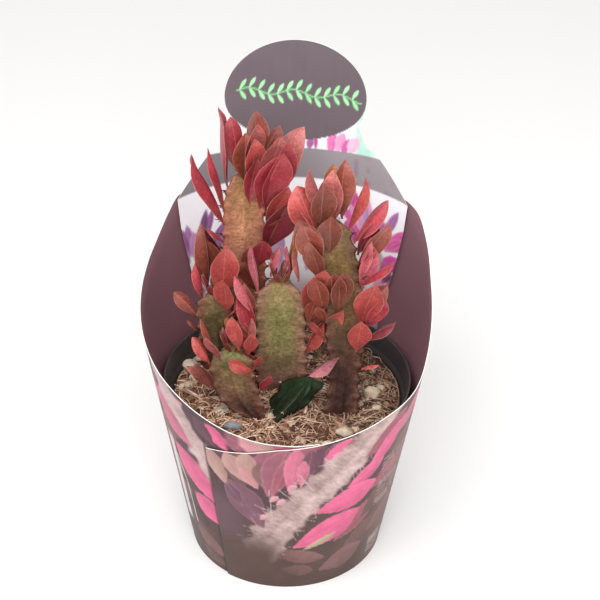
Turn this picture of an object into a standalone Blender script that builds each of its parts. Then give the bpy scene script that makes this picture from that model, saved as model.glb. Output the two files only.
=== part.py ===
"""A potted euphorbia: a three-winged succulent with red leaves in a nursery pot, in a printed card sleeve.

Metres, +Z up. The origin is the centre of the pot's foot, on the surface that it stands on.
The front is towards -Y. A heading is the compass direction seen from above, in degrees:
0 points to the front (-Y), 90 to the right (+X), 180 to the back and -90 to the left.
"""

import math

import bpy
import bmesh
import numpy as np

MM = 0.001
GAP = 0.3 * MM  # clearance between pieces that touch

# Nursery pot: a 10.5 cm grower pot
POT_HEIGHT = 82 * MM
POT_RIM_RADIUS = 52.5 * MM
POT_FOOT_RADIUS = 39 * MM
POT_WALL = 0.9 * MM
POT_FLOOR = 1.2 * MM
POT_RIM_HEIGHT = 9 * MM
POT_RIM_STEP = 1.2 * MM
POT_CHAMFER = 1.5 * MM
DRAIN_HOLES = 6
DRAIN_HOLE_RADIUS = 4 * MM
DRAIN_HOLE_CIRCLE = 25 * MM

# Potting mix
SOIL_BELOW_RIM = 9 * MM
SOIL_EDGE_DROP = 1.5 * MM
SOIL_EDGE_SLOPE = 4 * MM  # how far in from the pot's wall the level top begins

# Card sleeve round the pot: one strip, rolled into a cone and glued over itself at the front left
CARD = 0.45 * MM
SLEEVE_FOOT_EASE = 2.0 * MM
SLEEVE_RIM_EASE = 2.6 * MM
SLEEVE_START_HEADING = 14.0
SLEEVE_END_HEADING = -395.5
SLEEVE_COLUMNS = 76
# How far the top edge stands above (or below) the pot's rim, along the strip
SLEEVE_EDGE = (
    (14, 6), (2, 6), (-11, 7), (-25, 10), (-38, 14), (-50, 18), (-64, 22), (-80, 28), (-93, 34),
    (-107, 41), (-119, 48), (-127, 55), (-134, 61), (-180, 62), (-229, 61), (-236, 59),
    (-242, 53), (-248, 46), (-254, 38), (-261, 31), (-270, 23), (-282, 13), (-293, 10), (-313, 10),
    (-330, 8), (-346, 6), (-364, 4), (-374, 1), (-382, -1), (-395.5, -4),
)

# Header card: stands inside the back of the sleeve, with an oval plate above shoulders
HEADER_ABOVE_RIM = 120 * MM
OVAL_HALF_WIDTH = 30.3 * MM
OVAL_HALF_HEIGHT = 24 * MM
OVAL_FOOT_BELOW_CENTRE = 11 * MM
HEADER_FLAT_RADIUS = 140 * MM
HEADER_ROLLED_TO = 2 * MM  # above the sleeve's back edge
HEADER_FLAT_FROM = 40 * MM
HEADER_TURN = 1.6  # degrees round the pot, towards the right
HEADER_COLUMNS = 16
# Half width of the card below the oval: distance below the card's top, half width
HEADER_EDGE = (
    (36, 27.6), (41, 29), (43.5, 31), (47, 36.6), (60.5, 49), (74, 47.5), (86, 45.3),
    (98, 42.8), (106, 39.5), (125, 38), (150, 36),
)

# Stems. Each is (name, base, middle, top, ridge radius, heading of one ridge, foot and neck shape),
# with places in mm: across, back, above the soil. The other two ridges are a third of a turn on.
# Stems and leaves are drawn for a level soil top of PLANTED_RADIUS; a wider pot grows a larger plant.
PLANTED_RADIUS = 44.525 * MM
STEM_LEVEL = 3.5 * MM
TOOTH = 0.10
ROOT_RADIUS = 3.2 * MM
ROOT_DEPTH = 26 * MM
STEMS = {
    "front": ((-2.2, 4.5, 0), (-2.7, 3.8, 28), (-3.3, 3, 55), 11.0, 60, (0.92, 1.0, 0.66)),
    "tall_left": ((-18, 22, 0), (-18.3, 19, 48), (-18.1, 21, 95), 9.0, 60, (0.85, 1.0, 0.62)),
    "tall_right": ((21.6, -14, 0), (23, -3, 39), (16.2, 4, 84), 8.2, 70, (0.95, 0.75, 0.72)),
    "small": ((-12, -18, 0), (-20.5, -13, 13), (-23, -9.5, 29), 9.5, 60, (0.38, 0.75, 0.72)),
    "back_left": ((-29, 9, 0), (-30, 5.5, 25), (-31.3, 2, 49), 7.8, 70, (0.9, 1.0, 0.62)),
    "old_green": ((-3, -17, 0), (2.5, -14, 7), (9.5, -10, 14), 8.0, 100, (0.85, 1.0, 0.62)),
}

# Leaves: height on the stem (mm above the soil), heading of the ridge it grows from, heading that
# it leans to, rise above level in degrees, length and width in mm, and roll about its own length.
LEAF_THICKNESS = 0.8 * MM
LEAF_FOLD = 0.22
LEAF_BOW = 0.06
LEAVES = {
    "tall_left": (
        (74, -60, -75, 67, 37, 14, 10),
        (80, -60, -90, 77, 30, 11, 0),
        (90, -60, -155, 83, 35, 13, 65),
        (95, -110, -120, 84, 24, 10, 25),
        (94, 20, 45, 80, 28, 11, 0),
        (94, 150, 140, 80, 26, 11, -10),
        (93, 70, 95, 70, 26, 11, -30),
        (92, 45, 10, 75, 24, 10, -20),
        (81, 60, 50, 70, 37, 15, 15),
        (84, 90, 100, 60, 36, 15, -30),
        (62, 60, 50, 65, 30, 13, 40),
        (76, 80, 75, 35, 14, 6, -55),
        (42, 45, -40, 65, 20, 9, -25),
    ),
    "tall_right": (
        (26, -25, -50, -10, 16, 7, -5),
        (28, 55, 10, 70, 21, 10, 10),
        (32, 70, 90, 35, 16, 7, -5),
        (40, 62, 45, 70, 24, 12, 50),
        (41, 90, 110, 45, 18, 8, -35),
        (46, -20, 20, 78, 23, 10, 0),
        (56, 70, 90, 40, 18, 7, 0),
        (57, 75, 90, 80, 22, 9, -25),
        (66, -50, -65, 68, 26, 12, -65),
        (75, 70, 90, 57, 24, 10, -20),
        (80, 70, 118, 70, 24, 10, 15),
        (83, -40, 10, 80, 21, 11, -5),
        (84, 85, 170, 80, 25, 10, 25),
        (77, -55, -65, 62, 19, 12, -20),
        (84, -120, -95, 75, 22, 9, 20),
        (84, 175, 150, 84, 21, 8, -5),
        (84, 25, -20, 84, 25, 9, -5),
    ),
    "front": (
        (22, -60, -40, 55, 16, 6, -45),
        (22, 60, 50, 62, 22, 9, -35),
        (28, -60, -90, 70, 24, 10, 15),
        (41, -60, -90, 65, 21, 9, 15),
        (44, 60, 40, 64, 28, 12, 30),
        (49, -65, -90, 83, 24, 10, -20),
        (53, 140, 130, 82, 20, 8, 20),
    ),
    "back_left": (
        (40, -50, -90, 50, 15, 6, 50),
        (41, 60, -10, 70, 22, 9, 10),
        (46, -85, -90, 80, 17, 7, 25),
        (47, 90, 20, 80, 27, 12, 10),
        (47, -150, -160, 80, 30, 12, -40),
    ),
    "small": (
        (14, -60, -55, 63, 19, 8, -45),
        (22, 60, -60, 35, 15, 6, 45),
        (25, -60, -90, 63, 15, 6, 35),
    ),
}

# Pebbles lying on the soil: heading, how far in from the edge of its level top, half sizes in mm
PEBBLES = (
    (83.7, 8.3, 4.0, 3.0, 2.6),
    (37.7, 5.3, 3.6, 3.0, 2.4),
    (-108.4, 0.3, 3.6, 3.0, 2.6),
    (-118.4, 2.5, 3.2, 2.6, 2.2),
    (-39.2, 9.7, 4.4, 2.6, 1.8),
)

SOIL_LEVEL = POT_HEIGHT - SOIL_BELOW_RIM
HEADER_TOP = POT_HEIGHT + HEADER_ABOVE_RIM
SLEEVE_BACK_TOP = POT_HEIGHT + MM * max(rise for _, rise in SLEEVE_EDGE)


def material(name, colour, roughness):
    """A Principled material with one colour (linear RGB) and one roughness."""
    made = bpy.data.materials.get(name)
    if made is None:
        made = bpy.data.materials.new(name)
        made.use_nodes = True
        shader = made.node_tree.nodes["Principled BSDF"]
        shader.inputs["Base Color"].default_value = (*colour, 1.0)
        shader.inputs["Roughness"].default_value = roughness
        shader.inputs["Metallic"].default_value = 0.0
    return made


def solid(name, points, faces, made_of, smooth=True):
    """A named object from points and faces, with its normals turned outwards."""
    mesh = bpy.data.meshes.new(name)
    mesh.from_pydata([tuple(map(float, p)) for p in points], [], faces)
    shape = bmesh.new()
    shape.from_mesh(mesh)
    bmesh.ops.recalc_face_normals(shape, faces=shape.faces)
    shape.to_mesh(mesh)
    shape.free()
    mesh.materials.append(made_of)
    if smooth:
        mesh.shade_smooth()
        mesh.set_sharp_from_angle(angle=math.radians(35))
    piece = bpy.data.objects.new(name, mesh)
    bpy.context.scene.collection.objects.link(piece)
    return piece


def direction(heading):
    """The level unit vector that a heading in degrees points along."""
    turn = math.radians(heading)
    return np.array([math.sin(turn), -math.cos(turn), 0.0])


def turned(profile, steps):
    """Points and faces of a profile of (radius, height) turned round Z; a zero radius closes the end."""
    points = []
    rings = []
    for radius, height in profile:
        if radius == 0:
            rings.append([len(points)] * steps)
            points.append((0.0, 0.0, height))
        else:
            rings.append(list(range(len(points), len(points) + steps)))
            for step in range(steps):
                turn = 2 * math.pi * step / steps
                points.append((radius * math.cos(turn), radius * math.sin(turn), height))
    faces = []
    for low, high in zip(rings, rings[1:]):
        for a in range(steps):
            b = (a + 1) % steps
            face = [low[a], low[b], high[b], high[a]]
            faces.append(list(dict.fromkeys(face)))
    return points, faces


def cutter(name, x, y, low, high, radius, sides=16):
    """A hidden upright cylinder for a Boolean."""
    points, faces = turned([(0, low), (radius, low), (radius, high), (0, high)], sides)
    moved = [(px + x, py + y, pz) for px, py, pz in points]
    piece = solid(name, moved, faces, material("cutter", (1, 0, 0), 0.5), smooth=False)
    piece.hide_render = True
    piece.display_type = "WIRE"
    return piece


def cut(piece, cutters):
    """Takes each cutter out of the piece with an exact Boolean."""
    for tool in cutters:
        modifier = piece.modifiers.new(tool.name, "BOOLEAN")
        modifier.operation = "DIFFERENCE"
        modifier.solver = "EXACT"
        modifier.object = tool


# ---- pot and soil

def pot_outside(height):
    """Outer radius of the pot's wall below its rim band."""
    rim = POT_RIM_RADIUS - POT_RIM_STEP
    return POT_FOOT_RADIUS + (rim - POT_FOOT_RADIUS) * height / POT_HEIGHT


def make_pot():
    """A thin tapered pot with a stepped rim band and drain holes in its floor."""
    band = POT_HEIGHT - POT_RIM_HEIGHT
    corner = POT_FLOOR + 2 * POT_CHAMFER
    profile = [
        (0, 0),
        (POT_FOOT_RADIUS - POT_CHAMFER, 0),
        (pot_outside(POT_CHAMFER), POT_CHAMFER),
        (pot_outside(band), band),
        (pot_outside(band) + POT_RIM_STEP, band),
        (POT_RIM_RADIUS, POT_HEIGHT),
        (POT_RIM_RADIUS - POT_WALL, POT_HEIGHT),
        (pot_outside(band) + POT_RIM_STEP - POT_WALL, band + POT_WALL),
        (pot_outside(band) - POT_WALL, band - POT_WALL),
        (pot_outside(corner) - POT_WALL, corner),
        (pot_outside(corner) - POT_WALL - POT_CHAMFER, POT_FLOOR),
        (0, POT_FLOOR),
    ]
    plastic = material("black_polypropylene", (0.012, 0.014, 0.018), 0.45)
    pot = solid("pot", *turned(profile, 48), plastic)
    holes = []
    for hole in range(DRAIN_HOLES):
        turn = 2 * math.pi * (hole + 0.53) / DRAIN_HOLES
        x, y = DRAIN_HOLE_CIRCLE * math.cos(turn), DRAIN_HOLE_CIRCLE * math.sin(turn)
        holes.append(cutter(f"drain_{hole}", x, y, -POT_FLOOR, 2 * POT_FLOOR, DRAIN_HOLE_RADIUS, 12))
    cut(pot, holes)


def soil_outside(height):
    """Outer radius of the potting mix: the pot's inner wall less a gap."""
    return pot_outside(height) - POT_WALL - GAP


def soil_top_radius():
    """Radius of the potting mix's level top, inside its sloping edge."""
    return soil_outside(SOIL_LEVEL - SOIL_EDGE_DROP) - SOIL_EDGE_SLOPE


def make_soil():
    """The potting mix: a plug that fills the pot, with a socket for each stem's root."""
    bottom = POT_FLOOR + GAP
    corner = bottom + 2 * POT_CHAMFER
    edge = SOIL_LEVEL - SOIL_EDGE_DROP
    profile = [
        (0, bottom),
        (soil_outside(corner) - POT_CHAMFER, bottom),
        (soil_outside(corner), corner),
        (soil_outside(edge), edge),
        (soil_top_radius(), SOIL_LEVEL),
        (0, SOIL_LEVEL),
    ]
    soil = solid("soil", *turned(profile, 48), material("coir_mix", (0.20, 0.11, 0.05), 0.95))
    sockets = []
    for name, stem in STEMS.items():
        x, y, _ = stem_axis(stem, 0.0)
        low = SOIL_LEVEL - ROOT_DEPTH - GAP
        sockets.append(cutter(f"socket_{name}", x, y, low, SOIL_LEVEL + 5 * MM, ROOT_RADIUS + GAP, 12))
    cut(soil, sockets)


# ---- card sleeve and header

def sleeve_inside(height, turned_through=0.0):
    """Radius of the sleeve's inner face: a cone round the pot, one card and one gap wider each turn."""
    foot = POT_FOOT_RADIUS + SLEEVE_FOOT_EASE
    rim = POT_RIM_RADIUS + SLEEVE_RIM_EASE
    return foot + (rim - foot) * height / POT_HEIGHT + (CARD + GAP) * turned_through / 360


def make_sleeve():
    """One closed strip of card, wound once round the pot and lapped over its own start."""
    headings = np.linspace(SLEEVE_START_HEADING, SLEEVE_END_HEADING, SLEEVE_COLUMNS)
    edge = np.array(SLEEVE_EDGE, float)
    tops = POT_HEIGHT + MM * np.interp(-headings, -edge[:, 0], edge[:, 1])
    points = []
    for heading, top in zip(headings, tops):
        wound = SLEEVE_START_HEADING - heading
        for height, out in ((0.0, 0.0), (0.0, CARD), (top, CARD), (top, 0.0)):
            points.append(direction(heading) * (sleeve_inside(height, wound) + out) + (0, 0, height))
    faces = [[0, 1, 2, 3], [len(points) - 4 + k for k in (3, 2, 1, 0)]]
    for column in range(SLEEVE_COLUMNS - 1):
        a, b = 4 * column, 4 * column + 4
        for k in range(4):
            n = (k + 1) % 4
            faces.append([a + k, a + n, b + n, b + k])
    solid("card_sleeve", points, faces, material("printed_card", (0.75, 0.25, 0.38), 0.45))


def header_half_width(height):
    """Half the header card's width at a height: an oval above, shoulders and a tongue below."""
    centre = HEADER_TOP - OVAL_HALF_HEIGHT
    if height >= centre - OVAL_FOOT_BELOW_CENTRE:
        across = 1 - ((height - centre) / OVAL_HALF_HEIGHT) ** 2
        return OVAL_HALF_WIDTH * math.sqrt(max(across, 0.0))
    edge = np.array(HEADER_EDGE, float) * MM
    return float(np.interp(HEADER_TOP - height, edge[:, 0], edge[:, 1]))


def header_point(across, height, out):
    """A point on the card: rolled with the sleeve low down, flatter above it, leaning back with it."""
    back = sleeve_inside(height) - GAP - CARD
    ease = (height - SLEEVE_BACK_TOP - HEADER_ROLLED_TO) / (HEADER_FLAT_FROM - HEADER_ROLLED_TO)
    ease = min(max(ease, 0.0), 1.0)
    radius = back + (HEADER_FLAT_RADIUS - back) * ease
    turn = math.asin(across / (radius + out))
    y = back + out - (radius + out) * (1 - math.cos(turn))
    aside = math.radians(HEADER_TURN)
    return (
        across * math.cos(aside) + y * math.sin(aside),
        y * math.cos(aside) - across * math.sin(aside),
        height,
    )


def make_header():
    """The header card, as rows across the card joined into one thin closed plate."""
    centre = HEADER_TOP - OVAL_HALF_HEIGHT
    oval = [centre + OVAL_HALF_HEIGHT * math.sin(math.radians(a)) for a in (87, 75, 62, 48, 35, 20, 5, -10)]
    below = [HEADER_TOP - row[0] * MM for row in HEADER_EDGE]
    heights = oval + [centre - OVAL_FOOT_BELOW_CENTRE] + below
    points = []
    for out in (0.0, CARD):
        for height in heights:
            half = header_half_width(height)
            for column in range(HEADER_COLUMNS + 1):
                across = half * (2 * column / HEADER_COLUMNS - 1)
                points.append(header_point(across, height, out))
    wide = HEADER_COLUMNS + 1
    rows = len(heights)
    layer = rows * wide
    faces = []
    for row in range(rows - 1):
        for column in range(HEADER_COLUMNS):
            a = row * wide + column
            faces.append([a, a + 1, a + 1 + wide, a + wide])
            faces.append([layer + a, layer + a + wide, layer + a + 1 + wide, layer + a + 1])
    rim = [c for c in range(wide)]
    rim += [r * wide + wide - 1 for r in range(1, rows)]
    rim += [(rows - 1) * wide + c for c in range(wide - 2, -1, -1)]
    rim += [r * wide for r in range(rows - 2, 0, -1)]
    for a, b in zip(rim, rim[1:] + rim[:1]):
        faces.append([a, b, layer + b, layer + a])
    solid("header_card", points, faces, material("header_print", (0.20, 0.13, 0.14), 0.40))


# ---- plant

def plant_mm():
    """One drawn millimetre of plant in metres, larger or smaller with the soil that it grows in."""
    return MM * soil_top_radius() / PLANTED_RADIUS


def stem_axis(stem, height):
    """Centre of the stem at a height above the soil, on one smooth curve through base, middle and top."""
    base, middle, top = (np.array(p, float) * plant_mm() for p in stem[:3])
    control = 2 * middle - (base + top) / 2
    steps = np.linspace(0, 1, 101)[:, None]
    curve = (1 - steps) ** 2 * base + 2 * steps * (1 - steps) * control + steps**2 * top
    at = np.clip(height, 0, top[2])
    return np.array([np.interp(at, curve[:, 2], curve[:, axis]) for axis in (0, 1)] + [height])


def stem_ridge_radius(stem, height):
    """Distance from the axis to a ridge: foot, neck and top shares of the full radius, domed at the tip."""
    radius = stem[3] * plant_mm()
    foot, neck, top = stem[5]
    tall = stem[2][2] * plant_mm()
    share = np.interp(height / tall, (0, 0.18, 0.42, 0.88, 1), (foot, neck, 1.0, 0.95, top))
    return radius * float(share)


def stem_radius(stem, height, heading):
    """Distance from the axis to the surface: a three-sided section with a ridge at each corner."""
    off = abs((heading - stem[4] + 60) % 120 - 60)
    return stem_ridge_radius(stem, height) * 0.5 / math.cos(math.radians(60 - off))


def make_stem(name, stem):
    """A root plug in its socket and, above the soil, a three-winged stem with toothed ridges."""
    tall = stem[2][2] * plant_mm()
    count = max(4, round(tall / STEM_LEVEL))
    headings = [stem[4] + 30 * k for k in range(12)]
    base = stem_axis(stem, 0.0)
    levels = []
    for height in (-ROOT_DEPTH, GAP):
        levels.append([base + direction(h) * ROOT_RADIUS + (0, 0, height) for h in headings])
    for level in range(count + 1):
        height = 2 * GAP + (tall - 2 * GAP) * level / count
        centre = stem_axis(stem, height)
        tooth = 1 + TOOTH * (0.5 if level % 2 else -0.5)
        ring = []
        for k, heading in enumerate(headings):
            reach = stem_radius(stem, height, heading) * (tooth if k % 4 == 0 else 1.0)
            ring.append(centre + direction(heading) * reach)
        levels.append(ring)
    points = [p + (0, 0, SOIL_LEVEL) for ring in levels for p in ring]
    faces = [list(range(12))[::-1], list(range(len(points) - 12, len(points)))]
    for level in range(len(levels) - 1):
        for k in range(12):
            a, b = 12 * level + k, 12 * level + (k + 1) % 12
            faces.append([a, b, b + 12, a + 12])
    solid(f"stem_{name}", points, faces, material("stem_skin", (0.28, 0.20, 0.08), 0.6))


def leaf_frame(heading, rise, roll):
    """Along, across and upper-face directions of a leaf."""
    up = math.radians(rise)
    along = direction(heading) * math.cos(up) + np.array([0, 0, math.sin(up)])
    level = np.array([math.cos(math.radians(heading)), math.sin(math.radians(heading)), 0.0])
    face = np.cross(level, along)
    turn = math.radians(roll)
    across = level * math.cos(turn) + face * math.sin(turn)
    return along, across, np.cross(across, along)


def leaf_half_width(share):
    """Half width at a share of the length, 1 at the widest: narrow foot, widest past the middle, pointed."""
    widest = 0.9 / 1.45
    peak = widest**0.9 * (1 - widest) ** 0.55
    return share**0.9 * (1 - share) ** 0.55 / peak


def make_leaf(name, stem, row):
    """A thin closed blade with a thick midrib, folded along it and bowed, standing on the stem's ridge."""
    height, ridge, heading, rise, length, width, roll = row
    height *= plant_mm()
    reach = stem_radius(stem, height, ridge) * (1 + TOOTH / 2) + GAP + LEAF_THICKNESS / 2
    foot = stem_axis(stem, height) + direction(ridge) * reach + (0, 0, SOIL_LEVEL)
    along, across, face = leaf_frame(heading, rise, roll)
    length, half = length * plant_mm(), width * plant_mm() / 2
    points = []
    for share in (0.0, 0.15, 0.35, 0.55, 0.75, 0.9):
        wide = max(half * leaf_half_width(share), 0.7 * MM)
        thick = LEAF_THICKNESS / 2 * (1 - 0.4 * share)
        middle = foot + along * length * share - face * 4 * LEAF_BOW * length * share * (1 - share)
        fold = face * LEAF_FOLD * wide
        points += [
            middle - across * wide + fold,
            middle + face * thick,
            middle + across * wide + fold,
            middle - face * thick,
        ]
    points.append(foot + along * length)
    faces = [[3, 2, 1, 0]]
    for ring in range(5):
        for k in range(4):
            a, b = 4 * ring + k, 4 * ring + (k + 1) % 4
            faces.append([a, b, b + 4, a + 4])
    for k in range(4):
        faces.append([20 + k, 20 + (k + 1) % 4, 24])
    solid(name, points, faces, material("leaf_blade", (0.50, 0.09, 0.08), 0.45))


def make_pebble(index, row):
    """A flattened lump of pale grit, lying on the soil."""
    heading, inward = row[:2]
    wide, deep, tall = (value * MM for value in row[2:])
    x, y, _ = direction(heading) * (soil_top_radius() - inward * MM)
    shape = bmesh.new()
    bmesh.ops.create_icosphere(shape, subdivisions=1, radius=1.0)
    points = [
        (x + v.co.x * wide, y + v.co.y * deep, SOIL_LEVEL + GAP + tall * (1 + v.co.z)) for v in shape.verts
    ]
    faces = [[v.index for v in face.verts] for face in shape.faces]
    shape.free()
    solid(f"pebble_{index}", points, faces, material("pale_grit", (0.62, 0.54, 0.44), 0.85), smooth=False)


def main():
    for leftover in list(bpy.data.objects):
        bpy.data.objects.remove(leftover, do_unlink=True)
    make_pot()
    make_soil()
    make_sleeve()
    make_header()
    for name, stem in STEMS.items():
        make_stem(name, stem)
    for name, rows in LEAVES.items():
        for index, row in enumerate(rows, 1):
            make_leaf(f"leaf_{name}_{index:02d}", STEMS[name], row)
    for index, row in enumerate(PEBBLES, 1):
        make_pebble(index, row)


main()
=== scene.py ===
# %% [markdown]
# # A potted euphorbia in its printed card sleeve
#
# A young three-winged euphorbia, several cuttings in one nursery pot, sold in a rolled card sleeve with
# an oval header card behind the plant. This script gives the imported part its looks. The part's solids
# are the frame: every piece here is worked out from them, in the same place and at the same size.
# The order is the one in which a grower packs it: pot, potting mix, plant, sleeve and header.

# %% Load the frame
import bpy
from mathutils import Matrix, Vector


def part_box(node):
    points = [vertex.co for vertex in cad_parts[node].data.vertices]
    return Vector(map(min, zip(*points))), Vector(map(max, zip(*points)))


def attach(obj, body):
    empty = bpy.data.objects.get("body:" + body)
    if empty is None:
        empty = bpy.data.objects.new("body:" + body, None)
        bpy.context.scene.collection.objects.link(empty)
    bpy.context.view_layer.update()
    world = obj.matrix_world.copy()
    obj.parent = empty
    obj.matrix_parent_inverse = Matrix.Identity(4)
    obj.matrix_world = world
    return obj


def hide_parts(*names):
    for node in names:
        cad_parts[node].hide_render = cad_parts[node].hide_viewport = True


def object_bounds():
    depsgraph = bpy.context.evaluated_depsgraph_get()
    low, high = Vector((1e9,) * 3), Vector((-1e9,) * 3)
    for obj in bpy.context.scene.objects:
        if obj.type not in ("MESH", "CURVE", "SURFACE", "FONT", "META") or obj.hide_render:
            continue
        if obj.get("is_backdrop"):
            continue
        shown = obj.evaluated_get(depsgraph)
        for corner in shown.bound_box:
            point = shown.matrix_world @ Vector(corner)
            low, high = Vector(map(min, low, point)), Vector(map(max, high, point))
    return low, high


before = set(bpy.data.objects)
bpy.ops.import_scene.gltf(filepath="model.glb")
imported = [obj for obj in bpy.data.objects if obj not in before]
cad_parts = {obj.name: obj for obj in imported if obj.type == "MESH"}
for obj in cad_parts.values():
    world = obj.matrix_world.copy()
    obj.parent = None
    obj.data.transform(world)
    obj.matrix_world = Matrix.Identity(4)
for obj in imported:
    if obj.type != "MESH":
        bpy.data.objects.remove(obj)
print("frame nodes:", len(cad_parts))

# %% Units and the box of the frame
import math

import bpy
import numpy as np
from mathutils import Matrix, Vector

MM = 0.001  # everything below is worked out in millimetres and made in metres
cad_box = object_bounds()
print("frame box in mm:", [[round(value / MM, 1) for value in corner] for corner in cad_box])

# %% [markdown]
# ## Colours, nodes and meshes
#
# Colours are easiest to choose as sRGB hex values, the ones a paint shop or a screen shows, but a
# renderer adds light up in linear values, so one function turns them. One more function adds a shader
# node with its settings and its links, which keeps each material to a few readable lines.

# %% Colour and node helpers
def colour(code):
    """An sRGB hex value as linear RGBA: each channel over 255, with the sRGB curve undone."""
    channel = np.array([int(code[k:k + 2], 16) for k in (1, 3, 5)]) / 255
    linear = np.where(channel <= 0.04045, channel / 12.92, ((channel + 0.055) / 1.055) ** 2.4)
    return (*map(float, linear), 1.0)


def ink(code):
    """The same as a numpy row of three, for painting on points."""
    return np.array(colour(code)[:3])


def inks(codes):
    """Several of them, one row to a hex value."""
    return np.stack([ink(code) for code in codes])


def add(tree, kind, inputs=None, **settings):
    """Adds one node. A socket given as an input is linked, and any other value is set."""
    made = tree.nodes.new(kind)
    for key, value in settings.items():
        setattr(made, key, value)
    for key, value in (inputs or {}).items():
        if isinstance(value, bpy.types.NodeSocket):
            tree.links.new(value, made.inputs[key])
        else:
            made.inputs[key].default_value = value
    return made


def new_material(name, **sockets):
    """A material with one Principled shader. The sockets named are set to constant values."""
    made = bpy.data.materials.new(name)
    made.use_nodes = True
    shader = made.node_tree.nodes["Principled BSDF"]
    for key, value in sockets.items():
        shader.inputs[key.replace("_", " ")].default_value = value
    return made, made.node_tree, shader


print("a mid grey of #808080 is", round(colour("#808080")[0], 3), "in linear light")

# %% [markdown]
# Every shape is a grid of points or a row of rings, worked out as whole arrays. Rings joined one to the
# next, with each end closed on its middle, make one closed skin: that one form serves for a leaf, a stem,
# a thorn, a fibre, a turned pot and even a sheet of card, whose ring runs up one face and down the other.

# %% Mesh helpers
def closed_tubes(rings):
    """Points, quads and triangles of rings (tube, ring, place, xyz), each end closed on its middle."""
    tubes, count, around = rings.shape[:3]
    each = count * around + 2
    ends = rings[:, [0, -1]].mean(2)
    points = np.concatenate([rings.reshape(tubes, -1, 3), ends], 1).reshape(-1, 3)
    ring, place = np.meshgrid(np.arange(count - 1), np.arange(around), indexing="ij")
    after = (place + 1) % around
    low, high = ring * around, ring * around + around
    quads = np.stack([low + place, low + after, high + after, high + place], -1).reshape(-1, 4)
    place, after = np.arange(around), (np.arange(around) + 1) % around
    last = (count - 1) * around
    first_cap = np.stack([after, place, np.full(around, each - 2)], -1)
    last_cap = np.stack([last + place, last + after, np.full(around, each - 1)], -1)
    tris = np.concatenate([first_cap, last_cap])
    offset = (np.arange(tubes) * each)[:, None, None]
    return points, (quads + offset).reshape(-1, 4), (tris + offset).reshape(-1, 3)


def with_ends(values):
    """Values of shape (tube, ring, place, n) in the order of closed_tubes, the end points taking a mean."""
    tubes, depth = values.shape[0], values.shape[-1]
    ends = values[:, [0, -1]].mean(2)
    return np.concatenate([values.reshape(tubes, -1, depth), ends], 1).reshape(-1, depth)


def tint_each(tones, rings):
    """Point tints of rings that have one tone for each tube, or one for all, in the order of closed_tubes."""
    return with_ends(np.broadcast_to(np.reshape(tones, (-1, 1, 1, 3)), rings.shape).copy())


def volume(points, quads, tris):
    """Signed volume inside a closed skin: a sixth of the sum of a . (b x c) over its triangles."""
    flat = np.concatenate([quads[:, [0, 1, 2]], quads[:, [0, 2, 3]], tris])
    a, b, c = (points[flat[:, k]] for k in range(3))
    return float(np.einsum("ij,ij->", a, np.cross(b, c)) / 6)


print("points of a tube of three rings of four:", len(closed_tubes(np.zeros((1, 3, 4, 3)))[0]))

# %% From a skin to a piece
def make_piece(name, skin, finishes, stands_for=(), uv=None, tint=None, finish_of=None, sharp=None):
    """A closed skin in millimetres as an object on the root body, with its faces turned outwards."""
    points, quads, tris = skin
    if volume(points, quads, tris) < 0:
        quads, tris = quads[:, ::-1], tris[:, ::-1]
    mesh = bpy.data.meshes.new(name)
    corners = np.concatenate([quads.ravel(), tris.ravel()]).astype(np.int32)
    sides = np.repeat([4, 3], [len(quads), len(tris)])
    mesh.vertices.add(len(points))
    mesh.vertices.foreach_set("co", (points * MM).astype(np.float32).ravel())
    mesh.loops.add(len(corners))
    mesh.loops.foreach_set("vertex_index", corners)
    mesh.polygons.add(len(sides))
    mesh.polygons.foreach_set("loop_start", (np.cumsum(sides) - sides).astype(np.int32))
    for finish in finishes:
        mesh.materials.append(finish)
    if finish_of is not None:
        mesh.polygons.foreach_set("material_index", finish_of.astype(np.int32))
    if uv is not None:
        mesh.uv_layers.new(name="UVMap").data.foreach_set("uv", uv[corners].astype(np.float32).ravel())
    if tint is not None:
        rgba = np.concatenate([tint, np.ones((len(tint), 1))], 1).astype(np.float32)
        layer = mesh.color_attributes.new(name="tint", type="FLOAT_COLOR", domain="POINT")
        layer.data.foreach_set("color", rgba.ravel())
    mesh.update(calc_edges=True)
    mesh.shade_smooth()
    if sharp:
        mesh.set_sharp_from_angle(angle=math.radians(sharp))
    piece = bpy.data.objects.new(name, mesh)
    bpy.context.scene.collection.objects.link(piece)
    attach(piece, "root")
    if stands_for:
        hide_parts(*stands_for)
    return piece


print("every piece rides on the body root")

# %% [markdown]
# Nature needs unevenness that is the same on every run. Value noise does it: a fixed scramble gives each
# corner of a lattice a number, and points in between blend the eight corners round them.

# %% Noise and smooth curves
def cloudy(points, size, seed=0):
    """Smooth values from 0 to 1: scrambled numbers at lattice corners a size apart, blended smoothly."""
    place = points / size + 31.7
    cell = np.floor(place)
    part = place - cell
    part = part * part * (3 - 2 * part)
    total = np.zeros(len(points))
    for corner in np.ndindex(2, 2, 2):
        key = (cell + corner) @ (127.1, 311.7, 74.7) + 17.13 * seed
        value = np.sin(key) * 43758.5453
        total += (value - np.floor(value)) * np.where(corner, part, 1 - part).prod(1)
    return total


def steps_between(low, high, value):
    """0 below low, 1 above high and a smooth step in between."""
    share = np.clip((value - low) / (high - low), 0, 1)
    return share * share * (3 - 2 * share)


def smooth_through(at, known, values):
    """A smooth curve through known values: cubic spans whose end slopes are central differences."""
    slopes = np.gradient(values, known, axis=0)
    span = np.clip(np.searchsorted(known, at) - 1, 0, len(known) - 2)
    width = known[span + 1] - known[span]
    t = np.clip((at - known[span]) / width, 0, 1)
    extra = (slice(None),) + (None,) * (values.ndim - 1)
    t, width = t[extra], width[extra]
    start, end = values[span], values[span + 1]
    pull = slopes[span] * width * t * (1 - t) ** 2 - slopes[span + 1] * width * t * t * (1 - t)
    return start + (end - start) * t * t * (3 - 2 * t) + pull


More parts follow.
